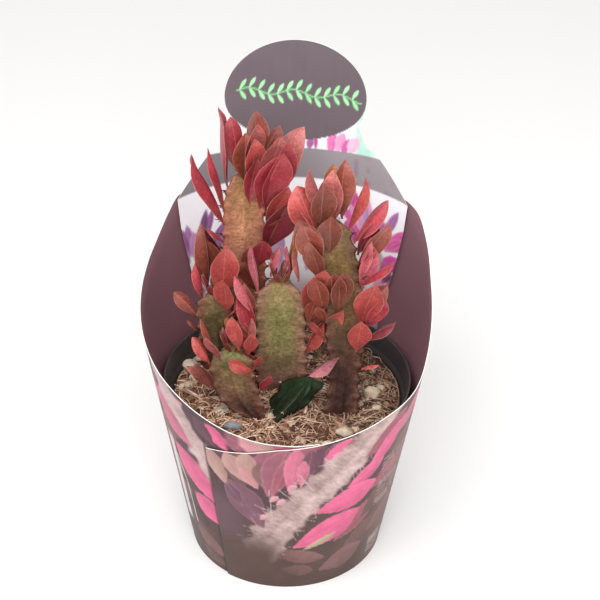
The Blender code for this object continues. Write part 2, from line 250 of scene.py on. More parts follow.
print("noise at three places 5 mm apart:", cloudy(np.arange(9.0).reshape(3, 3) * 5 / 3 ** 0.5, 10).round(2))

# %% Read the frame
def cad_points(name):
    """A frame node's own corners in millimetres, each once."""
    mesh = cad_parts[name].data
    flat = np.empty(len(mesh.vertices) * 3, np.float32)
    mesh.vertices.foreach_get("co", flat)
    return np.unique(flat.reshape(-1, 3), axis=0).astype(float) / MM


def headings(points):
    """Compass direction of points seen from above, in degrees: 0 is the front, 90 the right."""
    return np.degrees(np.arctan2(points[..., 0], -points[..., 1]))


def towards(heading):
    """Level unit vectors along headings in degrees."""
    turn = np.radians(heading)
    return np.stack([np.sin(turn), -np.cos(turn), np.zeros_like(turn)], -1)


def cad_corners(name):
    """The low and high corner of a frame node's box in millimetres."""
    return np.array([[*corner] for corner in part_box(name)]) / MM


pot_high = cad_corners("pot")[1]
soil_low, soil_high = cad_corners("soil")
SOIL = soil_high[2]
print(f"pot {pot_high[2]:.1f} mm high, {2 * pot_high[0]:.1f} mm across; soil level at {SOIL:.1f} mm")

# %% [markdown]
# ## Light, floor and camera
#
# A plant on sale is shown on a pale sweep under big soft lamps: an even white surround and broad lamps
# from the upper left, the right and over the lens, which leave only soft shadows in the pot.
# A long lens from a little above shows the soil, the plant and the lip of the sleeve at once.

# %% Studio
scene = bpy.context.scene
scene.view_settings.view_transform = "Standard"
world = bpy.data.worlds.new("soft_surround")
scene.world = world
world.use_nodes = True
surround = world.node_tree.nodes["Background"]
surround.inputs["Color"].default_value = colour("#ffffff")
surround.inputs["Strength"].default_value = 0.78
LAMP_SIZE = 420
LAMP_AIM = (0, 0, 90)  # the middle of the plant


def lamp(name, place, watts):
    """A square soft lamp that looks at the plant; places and sizes in millimetres."""
    light = bpy.data.lights.new(name, "AREA")
    light.size = LAMP_SIZE * MM
    light.energy = watts
    holder = bpy.data.objects.new(name, light)
    scene.collection.objects.link(holder)
    place, aim = np.array(place) * MM, np.array(LAMP_AIM) * MM
    holder.location = place
    holder.rotation_euler = Vector(aim - place).to_track_quat("-Z", "Y").to_euler()


LAMPS = {"key_lamp": ((-330, -330, 860), 2.7), "fill_lamp": ((520, -380, 560), 1.2),
         "front_lamp": ((0, -600, 640), 3.2)}
for name, (place, watts) in LAMPS.items():
    lamp(name, place, watts)
print("soft lamps:", len(LAMPS), "of", LAMP_SIZE, "mm")

# A sheet of matt white backdrop paper, wide enough to fill the view
FLOOR = 3.0  # metres from its middle to a side
floor_mesh = bpy.data.meshes.new("studio_floor")
floor_corners = [(-FLOOR, -FLOOR, 0), (FLOOR, -FLOOR, 0), (FLOOR, FLOOR, 0), (-FLOOR, FLOOR, 0)]
floor_mesh.from_pydata(floor_corners, [], [(0, 1, 2, 3)])
floor = bpy.data.objects.new("studio_floor", floor_mesh)
scene.collection.objects.link(floor)
floor_paper, _, _ = new_material("matt_white_backdrop_paper", Base_Color=colour("#f7f6f5"), Roughness=0.9)
floor_mesh.materials.append(floor_paper)
floor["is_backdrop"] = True

# %% Camera
AIM = np.array([5.0, 0.0, 120.0])
DISTANCE = 700.0
ELEVATION = math.radians(33.5)  # above the level
TILT = math.radians(0.8)  # a slight roll about the line of sight
back = np.array([0, -math.cos(ELEVATION), math.sin(ELEVATION)])
right = np.array([1.0, 0, 0])
up = np.cross(back, right)
right, up = math.cos(TILT) * right + math.sin(TILT) * up, math.cos(TILT) * up - math.sin(TILT) * right
camera_data = bpy.data.cameras.new("camera")
camera_data.lens = 102
camera_data.sensor_width = 36
camera_data.clip_start = 0.01
camera = bpy.data.objects.new("camera", camera_data)
scene.collection.objects.link(camera)
axes = Matrix([[*row] for row in np.stack([right, up, back], 1)]).to_4x4()
camera.matrix_world = Matrix.Translation((AIM + back * DISTANCE) * MM) @ axes
scene.camera = camera
print("camera at", [round(value) for value in AIM + back * DISTANCE], "mm")

# %% [markdown]
# ## Pot
#
# A grower's pot is thermoformed or moulded from recycled black polypropylene: a thin tapered wall, a
# stepped rim band to lift it by, a foot ring and drain holes. It is a turned shape, so one profile
# carried round the axis makes it, with the same sizes as the frame's pot. The holes are cut last.

# %% [markdown]
# The plastic comes first. Recycled polypropylene is near black, worn to charcoal, with a dull satin sheen and
# the grain of its mould, and dust of the mix clings to it. One flat black would do from afar; noise for the
# dust and a fine bump for the grain keep it true close up, for a few nodes.

# %% Pot plastic
pot_plastic, tree, shader = new_material("moulded_recycled_polypropylene", Roughness=0.42)
where = add(tree, "ShaderNodeTexCoord").outputs["Object"]
dust = add(tree, "ShaderNodeTexNoise", {"Vector": where, "Scale": 90.0, "Detail": 6.0}).outputs["Fac"]
dusty = add(tree, "ShaderNodeMapRange",
            {"Value": dust, "From Min": 0.5, "From Max": 0.75, "To Max": 0.35}).outputs[0]
black = add(tree, "ShaderNodeMix", {0: dusty, 6: colour("#413d3e"), 7: colour("#666058")}, data_type="RGBA")
tree.links.new(black.outputs[2], shader.inputs["Base Color"])
grain = add(tree, "ShaderNodeTexNoise", {"Vector": where, "Scale": 1500.0, "Detail": 2.0}).outputs["Fac"]
bump = add(tree, "ShaderNodeBump", {"Height": grain, "Strength": 0.25, "Distance": 0.0002}).outputs[0]
tree.links.new(bump, shader.inputs["Normal"])
print(pot_plastic.name, "has", len(tree.nodes), "nodes")

# %% Pot profile
POT_WALL = 0.9
POT_FLOOR = 1.2
RIM_BAND = 9.0
RIM_STEP = 1.2
CHAMFER = 1.5
ROUND = 0.35  # rounding of the moulded edges
FOOT_RING, FOOT_SLOPE = 3.4, 4.0  # width of the ring it stands on, without and with its inner slope
UNDERSIDE = 0.6  # how far the floor stands clear inside that ring
FLOOR_TOP = POT_FLOOR + 0.3
DRAIN_HOLES = 6
DRAIN_RADIUS = 4.0
DRAIN_CIRCLE = 25.0
DRAIN_TURN = 0.53  # share of a hole's pitch by which the first one is turned
pot_tall = pot_high[2]
foot_points = cad_points("pot")
foot_ring = foot_points[np.abs(foot_points[:, 2] - CHAMFER) < 0.01]
foot_radius = np.hypot(foot_ring[:, 0], foot_ring[:, 1]).max()
pot_rim = np.hypot(foot_points[:, 0], foot_points[:, 1]).max()
wall_slope = (pot_rim - RIM_STEP - foot_radius) / (pot_tall - CHAMFER)
print(f"pot: {2 * foot_radius:.1f} mm across its foot, {2 * pot_rim:.1f} mm across its rim")


def pot_outside(height):
    """Outer radius of the pot's wall below its rim band: straight from foot to rim."""
    return foot_radius + (height - CHAMFER) * wall_slope


def rounded(profile, radius, steps=4):
    """A closed profile with each corner replaced by a short quadratic curve of about that radius."""
    before, after = np.roll(profile, 1, 0), np.roll(profile, -1, 0)
    into = before - profile
    out = after - profile
    into_length = np.linalg.norm(into, axis=1, keepdims=True)
    out_length = np.linalg.norm(out, axis=1, keepdims=True)
    a = profile + into / into_length * np.minimum(radius, 0.4 * into_length)
    b = profile + out / out_length * np.minimum(radius, 0.4 * out_length)
    t = np.linspace(0, 1, steps)[None, :, None]
    curve = (1 - t) ** 2 * a[:, None] + 2 * t * (1 - t) * profile[:, None] + t ** 2 * b[:, None]
    return curve.reshape(-1, 2)


def turned(profile, around=160):
    """A closed skin of a profile of (radius, height) carried round the axis; its ends close on the axis."""
    turn = np.linspace(0, 2 * math.pi, around, endpoint=False)
    x = profile[:, :1] * np.cos(turn)
    y = profile[:, :1] * np.sin(turn)
    z = np.broadcast_to(profile[:, 1:], x.shape)
    return closed_tubes(np.stack([x, y, z], -1)[None])


# %% Turn the pot
band = pot_tall - RIM_BAND
corner = POT_FLOOR + 2 * CHAMFER
foot_out, band_out, corner_out = (pot_outside(height) for height in (CHAMFER, band, corner))
pot_corners = np.array([
    (foot_out - CHAMFER - FOOT_SLOPE, UNDERSIDE),
    (foot_out - CHAMFER - FOOT_RING, 0.0),
    (foot_out - CHAMFER, 0.0),
    (foot_out, CHAMFER),
    (band_out, band),
    (band_out + RIM_STEP, band),
    (pot_rim, pot_tall),
    (pot_rim - POT_WALL, pot_tall),
    (band_out + RIM_STEP - POT_WALL, band + POT_WALL),
    (band_out - POT_WALL, band - POT_WALL),
    (corner_out - POT_WALL, corner),
    (corner_out - POT_WALL - CHAMFER, FLOOR_TOP),
])
outline = rounded(pot_corners, ROUND)
axis_ends = np.array([[0.02, UNDERSIDE], [0.02, FLOOR_TOP]])
pot_profile = np.concatenate([axis_ends[:1], outline, axis_ends[1:]])
pot = make_piece("nursery_pot", turned(pot_profile), [pot_plastic], ["pot"], sharp=40)
print("pot faces before the holes are cut:", len(pot.data.polygons))

# %% Drain holes
hole_turn = 2 * math.pi * (np.arange(DRAIN_HOLES) + DRAIN_TURN) / DRAIN_HOLES
round_turn = np.linspace(0, 2 * math.pi, 24, endpoint=False)
hole_rings = np.stack([
    *np.broadcast_arrays(
        DRAIN_CIRCLE * np.cos(hole_turn)[:, None, None] + DRAIN_RADIUS * np.cos(round_turn),
        DRAIN_CIRCLE * np.sin(hole_turn)[:, None, None] + DRAIN_RADIUS * np.sin(round_turn),
        np.array([-1.0, 3.0])[None, :, None],
    ),
], -1)
cutter = make_piece("drain_cutter", closed_tubes(hole_rings), [pot_plastic])
cut = pot.modifiers.new("drain_holes", "BOOLEAN")
cut.operation = "DIFFERENCE"
cut.object = cutter
shape = bpy.data.meshes.new_from_object(pot.evaluated_get(bpy.context.evaluated_depsgraph_get()))
pot.modifiers.clear()
pot.data = shape
bpy.data.objects.remove(cutter)
print("pot faces after the holes are cut:", len(shape.polygons))

# %% [markdown]
# ## Potting mix
#
# The mix is shredded coir and bark with a little grit. Seen close it is a heap of loose fibres, so a
# bumpy ground alone would read as mud. The ground is a height field made of three sizes of noise,
# closed down the pot's wall; on it lie nearly two thousand fibres, some hundreds of splinters and bark
# crumbs and pale grit, each of only a few faces.

# %% Ground
soil_radius = np.hypot(*cad_points("soil")[:, :2].T).max()
EDGE_DROP = 1.5
SINK = 0.4  # the mix lies a little under the frame's level, because its lumps stand above it
LUMPS = ((2.6, 14, 1), (1.6, 5, 2), (0.8, 1.8, 3))  # rise and breadth of each size of lump, and its seed


def ground(x, y):
    """Height of the mix: level, lower at the pot's wall, with three sizes of lump that fade towards it."""
    flat = np.stack([x, y, np.zeros_like(x)], -1).reshape(-1, 3)
    uneven = sum(rise * (cloudy(flat, breadth, seed) - 0.5) for rise, breadth, seed in LUMPS)
    out = np.hypot(x, y) / soil_radius
    return SOIL + uneven.reshape(x.shape) * (1 - 0.4 * out) - EDGE_DROP * steps_between(0.86, 1.0, out) - SINK


def mix_level(x, y):
    """The same at one place."""
    return float(ground(np.array([float(x)]), np.array([float(y)]))[0])


GROUND_RINGS, WALL_RINGS, GROUND_AROUND = 110, 6, 260
edge = soil_radius - 0.05
radii = np.concatenate([np.linspace(0.3, edge, GROUND_RINGS), np.full(WALL_RINGS, edge), [30.0, 1.0]])
turn = np.linspace(0, 2 * math.pi, GROUND_AROUND, endpoint=False)
x, y = radii[:, None] * np.cos(turn), radii[:, None] * np.sin(turn)
z = ground(x, y)
wall = slice(GROUND_RINGS, GROUND_RINGS + WALL_RINGS)
wall_share = np.linspace(0, 1, WALL_RINGS + 1)[1:, None]
brink = z[GROUND_RINGS - 1]
z[wall] = brink + (soil_low[2] + 3 - brink) * wall_share
inner_foot = pot_outside(4.2) - POT_WALL - 0.3
shrink = 1 + (inner_foot / soil_radius - 1) * wall_share
x[wall] *= shrink
y[wall] *= shrink
z[wall.stop:] = soil_low[2] + 0.2
soil_skin = closed_tubes(np.stack([x, y, z], -1)[None])
lowest, highest = z[:GROUND_RINGS].min(), z[:GROUND_RINGS].max()
print(f"mix: {2 * soil_radius:.1f} mm across, its top between {lowest:.1f} and {highest:.1f} mm")

# %% [markdown]
# Peat and coir dust is dull and dark between the fibres and lighter where it has dried. A picture of soil
# could be laid over it; noise in object space has no seams and stays in place. Painted light and shade lie
# across it, lighter on the left of the pot and in shade on the right: one change shared by ground and fibres.

# %% Ground finish
def painted_light_across(tree, where):
    """Painted light and shade on the mix: lighter on the left of the pot, darker in shade on the right."""
    across = add(tree, "ShaderNodeSeparateXYZ", {0: where}).outputs[0]
    limits = {"Value": across, "From Min": -0.036, "From Max": 0.030, "To Min": 1.34, "To Max": 0.74}
    return add(tree, "ShaderNodeMapRange", limits).outputs[0]


peat, tree, shader = new_material("coir_and_peat_dust", Roughness=0.95)
where = add(tree, "ShaderNodeTexCoord").outputs["Object"]
lump = add(tree, "ShaderNodeTexNoise",
           {"Vector": where, "Scale": 260.0, "Detail": 8.0, "Roughness": 0.7}).outputs["Fac"]
share = add(tree, "ShaderNodeMapRange", {"Value": lump, "From Min": 0.36, "From Max": 0.66}).outputs[0]
brown = add(tree, "ShaderNodeMix", {0: share, 6: colour("#432a20"), 7: colour("#9c7560")}, data_type="RGBA")
# painted light and shade: the ground is lighter on the left of the pot and darker on the right
brown = add(tree, "ShaderNodeVectorMath", {0: brown.outputs[2], "Scale": painted_light_across(tree, where)},
            operation="SCALE").outputs[0]
tree.links.new(brown, shader.inputs["Base Color"])
fine = add(tree, "ShaderNodeTexNoise", {"Vector": where, "Scale": 1100.0, "Detail": 4.0}).outputs["Fac"]
height = add(tree, "ShaderNodeMath", {0: lump, 1: fine}, operation="ADD").outputs[0]
bump = add(tree, "ShaderNodeBump", {"Height": height, "Strength": 0.9, "Distance": 0.0006}).outputs[0]
tree.links.new(bump, shader.inputs["Normal"])
make_piece("potting_mix", soil_skin, [peat], ["soil"])
print(peat.name, "has", len(tree.nodes), "nodes")

# %% Fibre finish
# Coir fibre: dry, straw to brown, each strand with its own tint and a faint streak along it
coir, tree, shader = new_material("dry_coir_fibre", Roughness=0.75)
tinted = add(tree, "ShaderNodeAttribute", attribute_name="tint").outputs["Color"]
where = add(tree, "ShaderNodeTexCoord").outputs["Object"]
streak = add(tree, "ShaderNodeTexNoise", {"Vector": where, "Scale": 700.0, "Detail": 3.0}).outputs["Fac"]
shade = add(tree, "ShaderNodeMapRange",
            {"Value": streak, "From Min": 0.3, "From Max": 0.7, "To Min": 0.72, "To Max": 1.12}).outputs[0]
# the same painted light and shade on the fibres: lighter on the left, darker on the right
shade = add(tree, "ShaderNodeMath", {0: shade, 1: painted_light_across(tree, where)}, operation="MULTIPLY").outputs[0]
mixed = add(tree, "ShaderNodeVectorMath", {0: tinted, "Scale": shade}, operation="SCALE").outputs[0]
tree.links.new(mixed, shader.inputs["Base Color"])
print(coir.name, "has", len(tree.nodes), "nodes")

# %% Fibres
rng = np.random.default_rng(7)
FIBRES = 1900
FIBRE_LONGEST = 19.0
FIBRE_RINGS = 7
FIBRE_SIDES = 4


def tubes_along(paths, radii):
    """Rings round paths (tube, ring, xyz): each ring stands square to its path, on axes built from up."""
    run = np.gradient(paths, axis=1)
    run /= np.linalg.norm(run, axis=2, keepdims=True)
    side = np.cross(run, (0.13, 0.07, 1.0))
    side /= np.linalg.norm(side, axis=2, keepdims=True)
    top = np.cross(side, run)
    turn = np.linspace(0, 2 * math.pi, FIBRE_SIDES, endpoint=False)
    circle = side[:, :, None] * np.cos(turn)[:, None] + top[:, :, None] * np.sin(turn)[:, None]
    return paths[:, :, None] + circle * radii[:, :, None, None]


def fibre_paths(count, longest, lift):
    """Curved strands lying on the mix: a start, a heading that drifts, and heights that follow the ground."""
    reach = (soil_radius - 1.5) * np.sqrt(rng.random(count))
    at = rng.random(count) * 2 * math.pi
    heading = rng.random(count) * 2 * math.pi
    length = longest * (0.35 + 0.65 * rng.random(count) ** 1.5)
    along = np.linspace(-0.5, 0.5, FIBRE_RINGS)
    drift = heading[:, None] + (rng.random(count)[:, None] - 0.5) * 2.6 * along
    step = length[:, None] / (FIBRE_RINGS - 1)
    x = reach[:, None] * np.cos(at[:, None]) + np.cumsum(np.cos(drift) * step, 1)
    y = reach[:, None] * np.sin(at[:, None]) + np.cumsum(np.sin(drift) * step, 1)
    out = np.hypot(x, y)
    keep_in = np.minimum(1, (soil_radius - 0.8) / out)
    x, y = x * keep_in, y * keep_in
    arch = 1 - (2 * along[None]) ** 2
    z = ground(x, y) + 0.15 + lift * rng.random(count)[:, None] * arch + 0.5 * rng.random(count)[:, None]
    return np.stack([x, y, z], -1)


paths = fibre_paths(FIBRES, FIBRE_LONGEST, 1.9)
thick = (0.16 + 0.22 * rng.random(FIBRES) ** 2)[:, None] * np.linspace(1, 0.7, FIBRE_RINGS)
strands = tubes_along(paths, thick)
straw = inks(("#d6b096", "#c69c80", "#ac8168", "#8f674f", "#704b39", "#e4c4aa"))
fibre_tint = tint_each(straw[rng.integers(0, len(straw), FIBRES)], strands)
make_piece("coir_fibres", closed_tubes(strands), [coir], tint=fibre_tint)
print("fibres:", FIBRES, "of up to", FIBRE_LONGEST, "mm")

# %% Splinters
# Broken husk and bark: shorter, thicker and straighter than the fibres, and more mixed in tone
SPLINTERS = 190
paths = fibre_paths(SPLINTERS, 10.0, 1.2)
middles = paths[:, FIBRE_RINGS // 2, None]
paths = middles + (paths[:, -1:] - paths[:, :1]) * np.linspace(-0.5, 0.5, FIBRE_RINGS)[None, :, None]
thick = (0.35 + 0.55 * rng.random(SPLINTERS))[:, None] * np.array([0.6, 1, 1, 0.9, 1, 0.9, 0.5])
strands = tubes_along(paths, thick)
husk = inks(("#dfc1a8", "#ba8e72", "#8c614c", "#603f33", "#4b3027", "#cda68c"))
splinter_tint = tint_each(husk[rng.integers(0, len(husk), SPLINTERS)], strands)
make_piece("husk_splinters", closed_tubes(strands), [coir], tint=splinter_tint)
print("splinters:", SPLINTERS)

# %% [markdown]
# Bark crumbs and limestone grit are blunt lumps a millimetre or two across. Hundreds of carved stones would
# be heavy, so each is a ball of five rings of seven points, dented by noise, and one finish serves both, with
# a tint for each lump and clouds of dust on it.

# %% Grit finish
grit_stone, tree, shader = new_material("weathered_limestone_grit", Roughness=0.85)
tinted = add(tree, "ShaderNodeAttribute", attribute_name="tint").outputs["Color"]
where = add(tree, "ShaderNodeTexCoord").outputs["Object"]
cloud = add(tree, "ShaderNodeTexNoise", {"Vector": where, "Scale": 420.0, "Detail": 6.0}).outputs["Fac"]
shade = add(tree, "ShaderNodeMapRange",
            {"Value": cloud, "From Min": 0.3, "From Max": 0.7, "To Min": 0.78, "To Max": 1.08}).outputs[0]
mixed = add(tree, "ShaderNodeVectorMath", {0: tinted, "Scale": shade}, operation="SCALE").outputs[0]
tree.links.new(mixed, shader.inputs["Base Color"])
bump = add(tree, "ShaderNodeBump", {"Height": cloud, "Strength": 0.6, "Distance": 0.0004}).outputs[0]
tree.links.new(bump, shader.inputs["Normal"])


print(grit_stone.name, "has", len(tree.nodes), "nodes")

# %% Crumbs and grit
def ball_of(rings, around, pole):
    """Directions on a ball, ring by ring from pole to pole; the first ring stands a small angle off it."""
    polar = np.linspace(pole, math.pi - pole, rings)[:, None]
    turn = np.linspace(0, 2 * math.pi, around, endpoint=False)
    x, y = np.sin(polar) * np.cos(turn), np.sin(polar) * np.sin(turn)
    return np.stack([x, y, np.broadcast_to(np.cos(polar), x.shape)], -1)


CRUMB_RINGS, CRUMB_AROUND = 5, 7


def crumbs(places, sizes, seed):
    """Blunt lumps: squashed balls of a few rings, dented by noise, each turned its own way."""
    count = len(places)
    draw = np.random.default_rng(seed)
    ball = ball_of(CRUMB_RINGS, CRUMB_AROUND, 0.12)
    dent = 0.78 + 0.44 * draw.random((count, CRUMB_RINGS, CRUMB_AROUND, 1))
    body = ball[None] * dent * sizes[:, None, None, :]
    spin = draw.random(count) * 2 * math.pi
    c, s = np.cos(spin)[:, None, None], np.sin(spin)[:, None, None]
    turned_x = body[..., 0] * c - body[..., 1] * s
    turned_y = body[..., 0] * s + body[..., 1] * c
    return np.stack([turned_x, turned_y, body[..., 2]], -1) + places[:, None, None, :]


def scattered(count, seed):
    """Places on the mix, even over its area."""
    draw = np.random.default_rng(seed)
    reach = (soil_radius - 2.5) * np.sqrt(draw.random(count))
    at = draw.random(count) * 2 * math.pi
    x, y = reach * np.cos(at), reach * np.sin(at)
    return np.stack([x, y, ground(x, y) + 0.3], -1)


def make_crumbs(name, count, size, codes, seed):
    """One object of many small lumps, their tints drawn from a few hex values."""
    draw = np.random.default_rng(seed + 1)
    sizes = size * (0.5 + draw.random((count, 1))) * (0.6 + 0.8 * draw.random((count, 3)))
    rings = crumbs(scattered(count, seed), sizes, seed + 2)
    tones = inks(codes)[draw.integers(0, len(codes), count)]
    make_piece(name, closed_tubes(rings), [grit_stone], tint=tint_each(tones, rings))
    print(name.replace("_", " ") + ":", count)


make_crumbs("bark_crumbs", 420, 1.0, ("#6b4a33", "#4c3323", "#8a6849", "#a3835f"), 11)
make_crumbs("fine_grit", 90, 1.15, ("#d8c6b0", "#c9b69d", "#e3d6c4", "#b8a58e"), 21)

# %% [markdown]
# ## Pebbles
#
# A few larger stones lie on the mix: broken limestone chips with flat faces, and one grey, water-worn oval.
# A chip is a ball cut by a dozen planes: along each direction it reaches to the nearest plane.

# %% Pebbles and chips
CHIP_RINGS, CHIP_AROUND = 20, 28


def chip(middle, half, seed, planes=13, smooth=0.0):
    """Rings of a stone: a ball whose reach in each direction ends at the nearest of some random planes."""
    draw = np.random.default_rng(seed)
    ball = ball_of(CHIP_RINGS, CHIP_AROUND, 0.04).reshape(-1, 3)
    normals = draw.normal(size=(planes, 3))
    normals /= np.linalg.norm(normals, axis=1, keepdims=True)
    toward = np.maximum(ball @ normals.T, 1e-3)
    reach = np.minimum((draw.uniform(0.72, 0.95, planes) / toward).min(1), 1.05)
    reach = reach * (1 - smooth) + 0.97 * smooth
    reach *= 1 + 0.08 * (cloudy(ball + seed, 0.35, seed) - 0.5)
    return (ball * reach[:, None] * half + middle).reshape(1, CHIP_RINGS, CHIP_AROUND, 3)


PEBBLE_TONES = ("#d2bfa6", "#c8b49a", "#dccbb4", "#d0c0a8", "#85868a")
for index in range(1, 6):
    low, high = cad_corners(f"pebble_{index}")
    grey = index == 5
    rings = chip((low + high) / 2, (high - low) / 2 * (1.0 if grey else 1.12), index,
                 smooth=0.8 if grey else 0.0)
    shade = 0.84 + 0.3 * cloudy(rings.reshape(-1, 3), 1.6, 9)
    tone = with_ends((ink(PEBBLE_TONES[index - 1]) * shade[:, None]).reshape(rings.shape))
    make_piece(f"stone_{index}", closed_tubes(rings), [grit_stone], [f"pebble_{index}"], tint=tone)

# Chips beside them: place across and back, and half size, in mm
CHIPS = ((-42, 15, 3.6), (-38.5, 21.5, 3.6), (-40, 9, 2.6), (-36, 15, 2.9), (-42.5, 4, 2.7), (-34, 26, 2.6),
         (-27.5, -15, 2.6), (-20, -17, 1.9), (-30, -6, 2.0), (-34, 4, 1.6), (-37, -4, 1.8), (31, -10, 1.9),
         (38, -12, 2.2), (29, -27, 2.4), (17, -36, 2.6), (10, -38, 1.9), (22, -34, 1.8), (-24, -31, 1.9),
         (-17, -36, 1.6), (-31, -22, 1.7), (34, 8, 1.7), (5, -33, 1.4), (-8, -38, 1.4), (28, 20, 1.8),
         (-28, -28, 1.3), (36, -2, 1.5), (40, 4, 1.8))
chips = np.concatenate([
    chip(np.array([x, y, mix_level(x, y) + 0.35 * size]), size * np.array([1.0, 0.8, 0.62]), 50 + k)
    for k, (x, y, size) in enumerate(CHIPS)
])
tones = np.stack([ink(PEBBLE_TONES[k % 4]) * (0.8 + 0.07 * (k % 5)) for k in range(len(CHIPS))])
make_piece("limestone_chips", closed_tubes(chips), [grit_stone], tint=tint_each(tones, chips))

# One pale quartz cobble lies flat beside the small stem
COBBLE = (-24.0, -10.5)
cobble = chip(np.array([*COBBLE, mix_level(*COBBLE) + 0.9]), np.array([4.6, 3.5, 2.2]), 81, planes=9,
              smooth=0.45)
cobble_shade = 0.8 + 0.4 * cloudy(cobble.reshape(-1, 3), 1.8, 12)
cobble_tint = with_ends((ink("#a49f9c") * cobble_shade[:, None]).reshape(cobble.shape))
make_piece("quartz_cobble", closed_tubes(cobble), [grit_stone], tint=cobble_tint)
print("stones and chips:", 5 + len(CHIPS) + 1)

# %% [markdown]
# ## Stems
#
# The stem is the green, water-storing part: three wings round a fleshy core, each wing edged with
# teeth that carry a pair of thorns and, above it, a leaf. It could be a turned solid, but the wings
# make the section three-sided, so the skin is a function of height and of the angle off the nearest
# ridge. The frame's stems give the axis, the ridge headings and the radius at every height.

# %% Read a stem
APART = 120  # degrees from one of the three ridges to the next


def read_stem(name):
    """Axis, ridge radius and ridge heading of a frame stem: its flats lie at half the ridge radius."""
    points = cad_points(name)
    above = points[points[:, 2] > SOIL + 0.4]
    level, which = np.unique(np.round(above[:, 2], 2), return_inverse=True)
    which = which.reshape(-1)
    count = np.bincount(which)
    axis = np.stack([np.bincount(which, above[:, k]) / count for k in range(2)], 1)
    off_axis = above[:, :2] - axis[which]
    reach = np.hypot(*off_axis.T)
    flat = np.full(len(level), np.inf)
    np.minimum.at(flat, which, reach)
    far = reach > 1.7 * flat[which]
    ridge = headings(off_axis[far]) % APART
    return {"level": level, "axis": axis, "radius": 2 * flat, "ridge": float(np.median(ridge))}


STEM_NAMES = ("front", "tall_left", "tall_right", "small", "back_left", "old_green")
stems = {name: read_stem("stem_" + name) for name in STEM_NAMES}
for name, stem in stems.items():
    tall, widest = stem["level"][-1] - SOIL, stem["radius"].max()
    print(f"stem {name}: {tall:.0f} mm tall, ridge radius up to {widest:.1f} mm")


def off_ridge(stem, heading):
    """Degrees from a heading to the nearest ridge of a stem."""
    return np.abs((heading - stem["ridge"] + APART / 2) % APART - APART / 2)


def stem_at(stem, height):
    """Axis points (n, 3) and ridge radii at heights, smooth between the frame's rings."""
    height = np.asarray(height, float)
    within = np.clip(height, stem["level"][0], stem["level"][-1])
    axis = smooth_through(within, stem["level"], stem["axis"])
    radius = smooth_through(within, stem["level"], stem["radius"])
    return np.concatenate([axis, height[:, None]], 1), radius


# %% Stem shape
TOOTH_SPACING = 6.4  # mm from one tooth to the next along a ridge
TOOTH_LENGTH = 1.5
TOP_DOME = 2.6  # mm over which the tip closes
UNDER_SOIL = 3.0
WING = 9  # degrees each side of a ridge that its thin edge takes up
STEM_AROUND, STEM_STEP = 96, 0.6  # points round a stem, and mm from ring to ring


def teeth(height, ridge_number, seed):
    """The toothed edge from 0 to 1: a bump each spacing, leaning upwards, offset from ridge to ridge."""
    phase = height / TOOTH_SPACING + ridge_number / 3 + 0.21 * seed
    wave = np.sin(2 * math.pi * phase + 0.7 * np.sin(2 * math.pi * phase))
    return np.clip(0.5 + 0.5 * wave, 0, 1) ** 2.2


def stem_skin(stem, seed):
    """Rings up a stem: a hollow-sided triangle, whose ridges carry the teeth, under a small dome."""
    foot, top = SOIL - UNDER_SOIL, stem["level"][-1]
    height = np.linspace(foot, top, int((top - foot) / STEM_STEP))
    axis, radius = stem_at(stem, height)
    dome = np.clip((height - (top - TOP_DOME)) / TOP_DOME, 0, 0.985)
    radius = radius * np.sqrt(1 - dome ** 2) ** 0.7
    heading = stem["ridge"] + np.arange(STEM_AROUND) * 360 / STEM_AROUND
    off = off_ridge(stem, heading)
    number = np.round((heading - stem["ridge"]) / APART) % 3
    triangle = 0.5 / np.cos(np.radians(60 - off)) * (1 - 0.13 * np.sin(math.pi * off / 60))
    wing = np.exp(-(off / WING) ** 2)
    tooth = teeth(height[:, None] - foot, number[None], seed) * wing
    reach = radius[:, None] * triangle * (1 - 0.05 * wing) + tooth * TOOTH_LENGTH
    points = axis[:, None] + towards(heading)[None] * reach[..., None]
    flat = points.reshape(-1, 3)
    uneven = 0.9 * (cloudy(flat, 7, seed) - 0.5) + 0.35 * (cloudy(flat, 2.2, seed + 1) - 0.5)
    points = points + towards(heading)[None] * uneven.reshape(reach.shape)[..., None]
    points[..., 2] += 1.1 * (tooth - 0.4 * wing)
    points[-4:, :, 2] = np.minimum(points[-4:, :, 2], top)  # the tip stays as tall as the frame's
    return points, off, (height - SOIL) / (top - SOIL)


print("teeth on 60 mm of ridge:", round(60 / TOOTH_SPACING))

# %% [markdown]
# The skin is alive and waxy: lime to brown where the sun has reddened it, freckled, with pale scars where it
# was rubbed and a soft low shine. The slow change of colour up a stem is stored on its points, where it is
# easy to place; freckles and scars are finer than the points, so they come from noise and a net of cells.

# %% Stem finish
stem_skin_finish, tree, shader = new_material("waxy_succulent_skin", Roughness=0.5, Specular_IOR_Level=0.3)
tinted = add(tree, "ShaderNodeAttribute", attribute_name="tint").outputs["Color"]
where = add(tree, "ShaderNodeTexCoord").outputs["Object"]
stretched = add(tree, "ShaderNodeMapping", {"Vector": where, "Scale": (1.0, 1.0, 1.7)}).outputs[0]
freckle = add(tree, "ShaderNodeTexNoise",
              {"Vector": stretched, "Scale": 620.0, "Detail": 5.0, "Roughness": 0.65}).outputs["Fac"]
blotch = add(tree, "ShaderNodeTexNoise", {"Vector": where, "Scale": 190.0, "Detail": 3.0}).outputs["Fac"]
shade = add(tree, "ShaderNodeMapRange",
            {"Value": freckle, "From Min": 0.36, "From Max": 0.66, "To Min": 0.66, "To Max": 1.3}).outputs[0]
soft = add(tree, "ShaderNodeMapRange",
           {"Value": blotch, "From Min": 0.3, "From Max": 0.7, "To Min": 0.86, "To Max": 1.12}).outputs[0]
both = add(tree, "ShaderNodeMath", {0: shade, 1: soft}, operation="MULTIPLY").outputs[0]
mixed = add(tree, "ShaderNodeVectorMath", {0: tinted, "Scale": both}, operation="SCALE").outputs[0]
bent = add(tree, "ShaderNodeTexNoise", {"Vector": where, "Scale": 330.0, "Detail": 2.0}).outputs["Color"]
